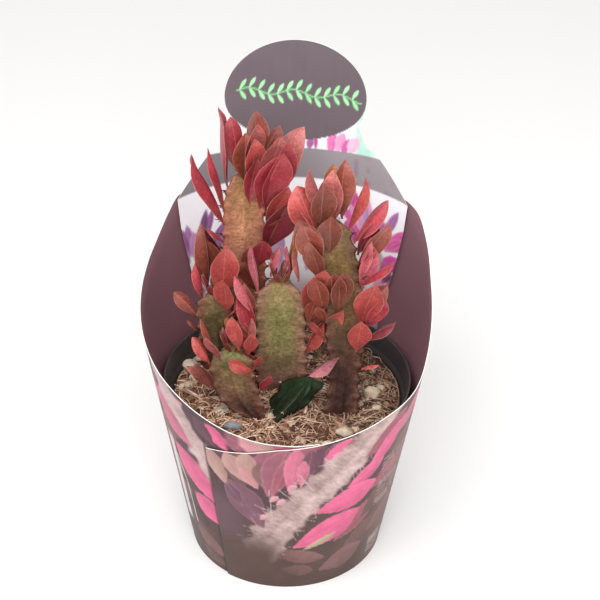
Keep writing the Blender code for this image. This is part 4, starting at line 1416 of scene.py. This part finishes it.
# For each leaf: heading and height of its base, the same of its tip, half width in mm, and its tone
UPPER_LEAVES = (
    (-36, 62, -20, 92, 6, "rose"), (-14, 66, -3, 92, 7, "mauve"), (-26, 72, -12, 93, 6, "plum"),
    (4, 70, 13, 93, 6, "rose"), (-31, 56, -40, 74, 4, "shade"), (-20, 58, -30, 84, 6, "grape"),
    (-27, 60, -34, 79, 4, "cream"), (-18, 62, -24, 78, 5, "dusk"), (-15, 64, -26, 80, 5.0, "cream"),
    (-17, 66, -16, 83, 4, "cream"), (-12, 62, -19, 74, 3.5, "shell"), (-9, 62, -11, 78, 3.5, "dim"),
    (-8, 58, 1, 87, 6.2, "mauve"), (-6, 58, 4, 84, 3.4, "rose"), (2, 60, 5, 88, 3.6, "pink"),
    (9, 66, 11, 87, 3.0, "plum"), (13, 72, 16, 88, 3.0, "grape"), (7, 64, 8, 80, 2.2, "pink"),
    (17, 76, 22, 88, 3.0, "plum"), (16, 78, 28, 88, 3.2, "hot"), (24, 79, 31, 88, 2.4, "rose"),
)
LOWER_LEAVES = (
    (30, 14, 56, 30, 7, "dusk"), (26, 26, 50, 44, 5.5, "rose"), (40, 34, 62, 52, 5.5, "dusk"),
    (48, 22, 74, 34, 6, "dim"), (44, 50, 70, 64, 6, "rose"), (52, 62, 80, 72, 6, "dim"),
    (19, 9, 46, 17, 6, "dim"), (-10, 24, 22, 17, 4.0, "dim"), (-2, 12, 16, 10, 3.4, "dusk"),
    (56, 12, 84, 20, 6, "dusk"), (62, 40, 88, 56, 6, "dim"), (36, 72, 60, 88, 5, "rose"),
    (38, 62, 60, 84, 4.6, "hot"), (54, 76, 82, 88, 5.6, "pink"), (29, 58, 49, 67, 4.2, "hot"),
    (14, 47, 47, 55, 6.6, "hot"), (4, 26, 39, 42, 7.2, "hot"), (9, 24, 27, 32, 1.8, "olive"),
)
LEFT_LEAVES = (
    (-34, 10, -58, 19, 5, "dim"), (-36, 4, -54, 9, 4, "dusk"), (-40, 22, -60, 34, 5, "shade"),
    (-45, 72, -69, 87, 6, "pink"), (-66, 60, -84, 74, 6, "rose"), (-62, 36, -84, 48, 6, "dim"),
    (-32, 43, -60, 67, 7.4, "hot"), (-31, 31, -51, 43, 6.4, "hot"),
)
UNDER_LEAVES = (
    (-25, 80, -34, 92, 3.6, "hot"), (-18, 80, -24, 92, 3.6, "mauve"), (-8, 80, -18, 91, 4, "shell"),
    (-2, 82, -12, 90, 3, "cream"), (4, 83, -5, 90, 3, "rose"), (12, 84, 4, 91, 3, "pink"),
    (-31, 80, -40, 93, 3, "grape"),
)
STEM_PATH = ((-12, 22), (-9, 30), (-3, 40), (6, 51), (14, 60), (22, 68), (30, 76), (39, 86), (48, 98))
LEFT_STEM = ((-62, 102), (-52, 88), (-44, 78), (-38, 68), (-33, 58))
LEAVES_BEHIND = 11  # the first rows of LOWER_LEAVES lie behind the stem
BUDS = ((-7, 55), (-12, 43), (1, 62), (-4, 53), (20, 78))
THORN_LINES = (((-2, 47), (-14, 52)), ((5, 55), (-3, 63)), ((12, 62), (6, 72)), ((-8, 36), (-21, 37)),
               ((24, 72), (16, 80)), ((-6, 44), (-7, 62)), ((-10, 30), (-25, 30)))
QUIET_TONES = ("dim", "dusk", "shade", "grape")  # leaves in the shadow, whose rims are dull too
print("printed leaves:", sum(map(len, (UPPER_LEAVES, LOWER_LEAVES, LEFT_LEAVES, UNDER_LEAVES))))

# %% Draw the branch
def mm_on_card(heading_and_height):
    """Heading in degrees and height in mm as flat millimetres on the card."""
    return np.asarray(heading_and_height, float) * (ARC, 1.0)


def draw_leaves(canvas, at, rows, seed):
    """A group of leaves, from the one that lies lowest to the one on top."""
    for k, (h0, z0, h1, z1, half, tone) in enumerate(rows):
        ends = mm_on_card((h0, z0)), mm_on_card((h1, z1))
        rim = "#9a7070" if tone in QUIET_TONES else "#e8b4b4"
        printed_leaf(canvas, at, *ends, half, INKS[tone], seed + k, rim=rim)


def draw_branch(canvas, at, seed=0):
    """The main motif: leaves above the stem, the stem, the round young leaves beside it, leaves below."""
    draw_leaves(canvas, at, UPPER_LEAVES, seed)
    draw_leaves(canvas, at, LOWER_LEAVES[:LEAVES_BEHIND], seed + 20)
    printed_stem(canvas, at, mm_on_card(STEM_PATH), 8.6, "#efd0cb", "#a38681", seed)
    printed_leaf(canvas, at, mm_on_card((-10, 38)), mm_on_card((-25, 64)), 7.4, "#875c6c", seed + 51,
                 rim="#b88c9c")
    printed_leaf(canvas, at, mm_on_card((-20, 50)), mm_on_card((-27, 62)), 3.4, "#7c5468", seed + 52)
    for h, z in BUDS:
        printed_leaf(canvas, at, mm_on_card((h, z)), mm_on_card((h + 4, z + 4)), 1.5, "#e5a8b0",
                     seed + 60 + h)
    bristles(canvas, at, mm_on_card(STEM_PATH), 8.6, 70, "#e9cfcf", seed)
    draw_leaves(canvas, at, LOWER_LEAVES[LEAVES_BEHIND:], seed + 40)
    for line in THORN_LINES:
        printed_line(canvas, at, mm_on_card(line), 0.14, "#e6d6d4", 0.6)
    fade = steps_between(43, 20, at[:, 1]) * steps_between(8, -9, at[:, 0])
    fade = fade * steps_between(-42, -34, at[:, 0])
    canvas += (ink("#604741") * (0.9 + 0.2 * flat_cloud(at, 5, 9))[:, None] - canvas) * fade[:, None]


print("the branch climbs to heading", STEM_PATH[-1][0], "at", STEM_PATH[-1][1], "mm")

# %% Draw the front and what lies beside the seam
def draw_front(canvas, at):
    """Right of the seam: the branch, plum shade beside the seam, and rows of dashes at the right."""
    draw_branch(canvas, at)
    dark = steps_between(60, 46, at[:, 1]) * steps_between(-12, -26, at[:, 0])
    canvas += (ink("#735560") - canvas) * (0.75 * dark * steps_between(20, 36, at[:, 1]))[:, None]
    printed_dashes(canvas, at, 50 * ARC, 36, 26, 14, "#d8bcb8", 5, 0.55)
    printed_dashes(canvas, at, 54 * ARC, 5, 20, 5, "#ecdeda", 6, 0.6)


def draw_beside(canvas, at):
    """Left of the seam and under the lap: a second stem with its leaves, and a plain pale patch."""
    printed_stem(canvas, at, mm_on_card(LEFT_STEM), 6.5, "#f0d0d0", "#b89696", 5)
    draw_leaves(canvas, at, LEFT_LEAVES, 80)
    draw_leaves(canvas, at, UNDER_LEAVES, 95)
    printed_line(canvas, at, mm_on_card([(-62, 58), (-57, 45), (-56, 22)]), 0.35, "#f2ece8", 1.0)
    heading, height = at[:, 0] / ARC, at[:, 1]
    patch = steps_between(-62, -63, heading) * steps_between(-69, -68, heading)
    patch = patch * steps_between(18, 22, height) * steps_between(70, 64, height)
    canvas += (ink("#eeeae6") - canvas) * patch[:, None]


print("the pale patch is", round(7 * ARC, 1), "mm wide")

# %% The whole picture
SEAM, LAP_SHADE = -36.5, -36.6  # headings of the lap's edge and of the thin shade beside it
SHOWN = 96  # degrees each way that the front picture spans
ROUND_THE_BACK = (-128, 132, -228)  # headings at which the branch is printed again, 8 mm higher


def card_picture(at, under):
    """The print at flat points of the card; under is true on the turn that the lap covers."""
    height, heading = at[:, 1], at[:, 0] / ARC
    turned = np.radians(heading)
    round_pot = np.stack([50 * np.sin(turned), 50 * np.cos(turned), height], 1)
    cloud, broad = cloudy(round_pot, 6, 71), cloudy(round_pot, 17, 72)
    low, high = ink("#5e4742"), ink("#563b43")
    canvas = low + (high - low) * steps_between(34, 66, height)[:, None]
    canvas = canvas * (0.74 + 0.36 * cloud + 0.2 * broad)[:, None]
    right = steps_between(44, 62, heading) * steps_between(150, 100, heading) * steps_between(95, 80, height)
    canvas += (ink("#7c5f58") - canvas) * (0.8 * right)[:, None]
    for turn in ROUND_THE_BACK:
        draw_branch(canvas, at - (turn * ARC, 8), seed=turn)
    near = np.abs(heading) < SHOWN
    front = near & ~under & (at[:, 0] > SEAM * ARC)
    for chosen, draw_part in ((front, draw_front), (near & ~front, draw_beside)):
        area = canvas[chosen]
        draw_part(area, at[chosen])
        canvas[chosen] = area
    in_lap_shade = steps_between(1.3, 0.0, np.abs(heading - LAP_SHADE)) * under
    in_lap_shade = in_lap_shade * steps_between(83, 80, height)
    canvas *= (1 - 0.75 * in_lap_shade)[:, None]
    speck = flat_cloud(at, 0.8, 73)
    return np.clip(PRINT_DEPTH * canvas * (0.94 + 0.12 * speck)[:, None], 0.004, 0.95)


UNDER_TO = 120  # degrees of winding at the strip's start that don't carry the front picture
picture_heading = np.where(wound < 180, START - wound, START + 360 - wound)
flat_places = np.stack([np.broadcast_to(picture_heading[:, None] * ARC, heights.shape), heights], -1)
outer = flat_places[:, :OUTSIDE_ROWS].reshape(-1, 2)
is_under = np.repeat(wound < UNDER_TO, OUTSIDE_ROWS)
picture = card_picture(outer, is_under).reshape(len(wound), OUTSIDE_ROWS, 3)
print("printed points:", len(outer))

# %% The aubergine inside
# A little lighter to the right, with broad soft clouds, and painted light deep in the sleeve, where shade
# falls
inner = strip_rings[:, OUTSIDE_ROWS:]
from_left = steps_between(-55, 55, inner[..., 0])
painted_light_deep = steps_between(125, 80, inner[..., 2])
inside_tone = ink("#7d5860") + (ink("#845f68") - ink("#7d5860")) * from_left[..., None]
# deep in the sleeve the ink is painted lighter: painted light against the shade that falls there
inside_tone = inside_tone * (1 + 0.25 * painted_light_deep)[..., None]
clouds = cloudy(inner.reshape(-1, 3), 22, 4).reshape(from_left.shape)
inside_tone = inside_tone * (0.9 + 0.2 * clouds)[..., None]
strip_tint = with_ends(np.concatenate([picture, inside_tone], 1)[None])
print("tints of the strip:", strip_tint.shape[0])

# %% [markdown]
# Three finishes meet on the card: offset print under satin varnish outside, a flood of aubergine ink inside,
# and the raw cut edge of bleached board, a bright hairline along the lip. They could be three objects; in one
# closed skin each face takes its finish by its place in the ring, and the sheet stays whole.

# %% Card finishes
# Print under satin varnish: colours from the points, a soft sheen, the faint grain of board
printed_card, tree, shader = new_material("satin_varnished_print", Specular_IOR_Level=0.25, Roughness=0.45)
tinted = add(tree, "ShaderNodeAttribute", attribute_name="tint").outputs["Color"]
tree.links.new(tinted, shader.inputs["Base Color"])
where = add(tree, "ShaderNodeTexCoord").outputs["Object"]
fibre = add(tree, "ShaderNodeTexNoise", {"Vector": where, "Scale": 420.0, "Detail": 4.0}).outputs["Fac"]
bump = add(tree, "ShaderNodeBump", {"Height": fibre, "Strength": 0.12, "Distance": 0.0002}).outputs[0]
tree.links.new(bump, shader.inputs["Normal"])

# The inside: one flat flood of aubergine ink, a little duller, so it takes only a broad soft light
flooded_card, tree, shader = new_material("aubergine_flood_ink", Roughness=0.5)
tinted = add(tree, "ShaderNodeAttribute", attribute_name="tint").outputs["Color"]
tree.links.new(tinted, shader.inputs["Base Color"])

# Cut edge of bleached board: matt and nearly white, a bright hairline along the lip
raw_board, _, _ = new_material("cut_bleached_board", Base_Color=colour("#f1ebe4"), Roughness=0.9)
print("card finishes:", ", ".join(finish.name for finish in (printed_card, flooded_card, raw_board)))

# %% Sleeve
place = np.arange(heights.shape[1])
side_of = np.select([place < OUTSIDE_ROWS - 1, place < OUTSIDE_ROWS + 3, place < heights.shape[1] - 1],
                    [0, 2, 1], 2)
strip_skin = closed_tubes(strip_rings[None])
finish_of = np.concatenate([np.tile(side_of, len(wound) - 1), np.zeros(len(strip_skin[2]), int)])
card_finishes = [printed_card, flooded_card, raw_board]
make_piece("wound_card_sleeve", strip_skin, card_finishes, ["card_sleeve"], tint=strip_tint,
           finish_of=finish_of, sharp=35)
print("sleeve faces:", len(finish_of))

# %% [markdown]
# ## Header card
#
# The header is a second die-cut card, tucked into the back of the sleeve: an oval plate on a neck, above
# shoulders that follow the roll of the sleeve. Low down it is rolled with the sleeve and above it
# flattens. Its roll, width and lean are read from the frame row by row, and its outline is drawn smooth.

# %% Read the header card
header_points = cad_points("header_card")
middle = header_points.mean(0)
HEADER_TURN = math.atan2(middle[0], middle[1])
c, s = math.cos(HEADER_TURN), math.sin(HEADER_TURN)
across_known = header_points[:, 0] * c - header_points[:, 1] * s
back_known = header_points[:, 0] * s + header_points[:, 1] * c
level, which = np.unique(np.round(header_points[:, 2], 2), return_inverse=True)
which = which.reshape(-1)
half_known = np.zeros(len(level))
np.maximum.at(half_known, which, across_known)
centre_front, edge_front = np.full(len(level), np.inf), np.full(len(level), np.inf)
on_middle, on_edge = np.abs(across_known) < 0.02, across_known > half_known[which] - 0.02
np.minimum.at(centre_front, which[on_middle], back_known[on_middle])
np.minimum.at(edge_front, which[on_edge], back_known[on_edge])
sagitta = centre_front - edge_front
roll_known = 2 * sagitta / (half_known ** 2 + sagitta ** 2)  # one over the radius
wide_rows = half_known > 20
print(f"header: turned {math.degrees(HEADER_TURN):.1f} degrees, {len(level)} rows known")
print(f"header: {2 * half_known.max():.0f} mm wide at the widest")

OVAL_HALF_WIDTH = 30.3
OVAL_HALF_HEIGHT = 24.0
OVAL_FOOT = 11.0
header_top = level[-1] + 0.03
oval_centre = header_top - OVAL_HALF_HEIGHT


def header_half(height):
    """Half width at a height: the oval's, and below it the frame's outline."""
    up = (height - oval_centre) / OVAL_HALF_HEIGHT
    oval = OVAL_HALF_WIDTH * np.sqrt(np.clip(1 - up ** 2, 0.0004, 1))
    return np.where(height >= oval_centre - OVAL_FOOT, oval, np.interp(height, level, half_known))


# %% Header as one closed ring per row
HEADER_FRONT, HEADER_BACK = 190, 14  # points across the printed face and across the back
OVAL_ROWS, TONGUE_ROWS = 84, 14
PANEL_STEP = 0.66  # mm from row to row between them
PRINT_FOOT = 92  # height under which the card is hidden, so its rows are coarse
NECK_TURN = -27.28  # angle round the oval, in degrees, at which its neck starts
turn = np.radians(np.linspace(89, NECK_TURN, OVAL_ROWS))
rows = np.concatenate([oval_centre + OVAL_HALF_HEIGHT * np.sin(turn),
                       np.arange(oval_centre - OVAL_FOOT - 0.6, PRINT_FOOT, -PANEL_STEP),
                       np.linspace(PRINT_FOOT - 0.5, level[0], TONGUE_ROWS)])
half = header_half(rows)
rolled = np.interp(rows, level[wide_rows], roll_known[wide_rows])
lean = np.interp(rows, level, centre_front)
front_share = np.linspace(-1, 1, HEADER_FRONT)
back_share = np.linspace(1, -1, HEADER_BACK)
share = np.concatenate([front_share, back_share])
out = CARD * np.concatenate([np.zeros(HEADER_FRONT), np.ones(HEADER_BACK)])
across = half[:, None] * share
reach = 1 / rolled[:, None] + out
depth = lean[:, None] + out - (reach - np.sqrt(reach ** 2 - across ** 2))
header_rings = np.stack([across * c + depth * s, depth * c - across * s,
                         np.broadcast_to(rows[:, None], across.shape)], -1)

print("header grid:", header_rings.shape[:2], "points")

# %% [markdown]
# ## What is printed on the header
#
# A grey-plum plate with a pale green sprig, a strip of leaves, a grey band and bright rosettes of leaves on
# white. It is painted on points like the sleeve, so the same leaves and stems serve. The card is nearly
# flat, so its own height and its distance from the middle are the plan of the picture.

# %% Plan of the header picture
header_at = np.stack([across[:, :HEADER_FRONT], np.broadcast_to(rows[:, None], (len(rows), HEADER_FRONT))],
                     -1).reshape(-1, 2)
LILAC_RIM = "#f2dcea"
# For each leaf: base and tip, across and up the card, half width in mm, and its tone
HEADER_LEAVES = (
    (-14, 100, -20, 124, 3, "#d8c0d8"), (-6, 96, -8, 122, 3, "#c6a2c4"), (6, 98, 8, 124, 3, "#c89ac0"),
    (14, 100, 20, 126, 3, "#dcb8d4"), (-30, 100, -27, 116, 2.0, "#b06c98"),
    (-28, 112, -29, 130, 2.0, "#c9a4cc"), (-26, 118, -24, 134, 1.8, "#a07cb0"),
    (27, 114, 27, 139, 2.4, "#cf4a98"), (24, 110, 24, 126, 2.2, "#e46cae"),
    (31, 116, 30, 136, 2.0, "#e88cc0"), (38, 106, 46, 117, 2.6, "#d850a8"), (36, 92, 40, 104, 2.4, "#e6a0bc"),
    (30, 92, 29, 106, 2.4, "#8a4a6c"), (42, 98, 46, 107, 2.2, "#c060a0"),
)
NECK_LEAVES = (
    (6, 154, 7, 160, 1.4, "#a868a0"), (9, 154, 9, 161, 0.8, "#c0408c"), (15, 153, 17, 163, 2.0, "#e27ab4"),
    (18, 154, 21, 163, 2.0, "#f0a4cc"), (20, 153, 24, 161, 1.6, "#c65a9c"),
    (23, 154, 27, 162, 2.0, "#e8b8d0"), (-24, 154, -28, 163, 2.4, "#cfe6dc"),
    (-12, 154, -15, 161, 2.0, "#d8a8c8"), (-20, 154, -19, 161, 2.0, "#e9dcec"),
)


# For each rosette: centre, reach in mm, first and last lean in degrees, number of leaves, tones, seed
ROSETTES = (
    ((-42, 105), 28, (-26, 56), 15, ("#8a5c94", "#b07cb4", "#7a4a80", "#c48ec0", "#9c5a98"), 400),
    ((-38, 97), 15, (-50, 50), 9, ("#c8609c", "#e4a4c8", "#8e5a80"), 420),
    ((35, 112), 27, (-36, 52), 19, ("#ea66b4", "#c898d0", "#dd58a0", "#b070b0", "#f2a6d2"), 430),
    ((37, 98), 15, (-60, 60), 9, ("#c44a8c", "#f0a8cc", "#7a3c5c", "#e070b4"), 460),
)
BAND_FOOT, BAND_TOP, NECK_FOOT = (141.2, 141.7), (154.7, 155.2), (154.6, 155.2)  # mm over which each starts


print("printed leaves on the header:",
      len(HEADER_LEAVES) + len(NECK_LEAVES) + sum(row[3] for row in ROSETTES))


# %% Draw the header picture
def draw_flat_leaves(canvas, at, leaves, seed):
    """Slim leaves told in mm across and up the card, in the order in which they overlap."""
    for k, (x0, z0, x1, z1, wide, code) in enumerate(leaves):
        printed_leaf(canvas, at, (x0, z0), (x1, z1), 1.15 * wide, code, seed + k, rim=LILAC_RIM, line=0.12)


def rosette(canvas, at, centre, reach, spread, how_many, codes, seed):
    """Narrow printed leaves that fan out of one place, long and short by turns."""
    leans = np.linspace(*spread, how_many)[np.argsort(np.arange(how_many) * 7 % how_many)]
    for k, lean in enumerate(leans):
        way = np.array([math.sin(math.radians(lean)), math.cos(math.radians(lean))])
        far = reach * (1.0, 0.7, 0.86, 0.6)[k % 4]
        base = np.array(centre) + way * far * 0.34
        printed_leaf(canvas, at, base, np.array(centre) + way * far, 1.7, codes[k % len(codes)], seed + k,
                     rim=LILAC_RIM, line=0.15)


def header_picture(at):
    """The header's print at flat points (across, height)."""
    x, z = at[:, 0], at[:, 1]
    cloud, fine = flat_cloud(at, 7, 31), flat_cloud(at, 2.2, 32)
    # The white is painted up to 12 percent brighter than white board: painted light for the strong light on
    # the panel
    canvas = 1.12 * (ink("#f0f0f8") + (ink("#ffffff") - ink("#f0f0f8")) * cloud[:, None])
    draw_flat_leaves(canvas, at, HEADER_LEAVES, 300)
    for row in ROSETTES:
        rosette(canvas, at, *row)
    printed_stem(canvas, at, [(18, 82), (24, 94), (31, 104), (36, 112)], 3.2, "#d9c4c4", "#8c6c70", 4)
    printed_stem(canvas, at, [(-44, 80), (-41, 92), (-39, 104)], 1.6, "#b79ab4", "#5c3c58", 4)
    low = steps_between(102, 88, z)
    canvas += (ink("#8a6470") * (0.7 + 0.6 * fine)[:, None] - canvas) * (0.7 * low)[:, None]
    neck = steps_between(*NECK_FOOT, z)
    mint = steps_between(24, 29, x) * neck
    strip = ink("#eef2f2") * (0.94 + 0.1 * cloud)[:, None]
    canvas += (strip - canvas) * neck[:, None]
    mint = mint * steps_between(37, 33, x)
    canvas += (ink("#a9dccb") * (0.8 + 0.4 * fine)[:, None] - canvas) * (0.8 * mint)[:, None]
    draw_flat_leaves(canvas, at, NECK_LEAVES, 340)
    grey = steps_between(*BAND_FOOT, z) * steps_between(*BAND_TOP[::-1], z)
    band_tone = ink("#7d757a") + (ink("#958d91") - ink("#7d757a")) * steps_between(-30, 30, x)[:, None]
    smudge = steps_between(0.5, 0.8, flat_cloud(at, 2.6, 35)) * steps_between(13, 4, np.abs(x - 33))
    band_tone = band_tone * (0.95 + 0.1 * cloud)[:, None]
    band_tone += (ink("#855a78") - band_tone) * (0.6 * smudge)[:, None]
    canvas += (band_tone - canvas) * (0.97 * grey)[:, None]
    low_oval = np.where(z > oval_centre, OVAL_HALF_HEIGHT + 1.0, 19.6)
    in_oval = 1 - np.hypot(x / (OVAL_HALF_WIDTH + 1.5 * (z > oval_centre)), (z - oval_centre) / low_oval)
    streak = flat_cloud(at * (1.0, 0.12), 1.6, 33)
    plate = ink("#6a5e64") * (0.93 + 0.1 * cloud + 0.06 * streak)[:, None]
    canvas += (plate - canvas) * steps_between(-0.006, 0.006, in_oval)[:, None]
    return canvas


canvas = header_picture(header_at)

# A sprig in pale green stands where a name would be printed
SPRIG = [(-25.0 + k, 180.6 - 0.055 * k + 1.3 * math.sin(k / 3.1)) for k in range(54)]
printed_line(canvas, header_at, SPRIG, 0.28, "#86d893", 0.9)
for k in range(1, 53, 4):
    x, z = SPRIG[k]
    for up in (1, -1):
        printed_leaf(canvas, header_at, (x, z), (x + 2.8, z + 4.4 * up), 0.78, "#97e6a0", k, rim="#d6ffd2")
print("header picture:", len(canvas), "points")

# %% Header card piece
back_tone = np.broadcast_to(ink("#ece9e4"), (len(rows), HEADER_BACK, 3))
header_tint = with_ends(np.concatenate([canvas.reshape(len(rows), HEADER_FRONT, 3), back_tone], 1)[None])
place = np.arange(HEADER_FRONT + HEADER_BACK)
side_of = np.select([place < HEADER_FRONT - 1, place == HEADER_FRONT - 1,
                     place < HEADER_FRONT + HEADER_BACK - 1], [0, 2, 1], 2)
header_skin = closed_tubes(header_rings[None])
finish_of = np.concatenate([np.tile(side_of, len(rows) - 1), np.full(len(header_skin[2]), 2)])
# Unprinted back of the same board, matt white
plain_board, _, _ = new_material("bleached_board_back", Base_Color=colour("#ece9e4"), Roughness=0.85)
make_piece("header_card_oval", header_skin, [printed_card, plain_board, raw_board],
           ["header_card"],
           tint=header_tint, finish_of=finish_of, sharp=35)
print("header faces:", len(finish_of))

# %% [markdown]
# ## Sizes
#
# The finished object is made as large as its frame; the two boxes are measured and printed.

# %% Sizes
visual_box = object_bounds()
boxes = {"cad": cad_box, "visual": visual_box}
for name, box in boxes.items():
    print(name, "box in mm:", [[round(value / MM, 1) for value in corner] for corner in box])
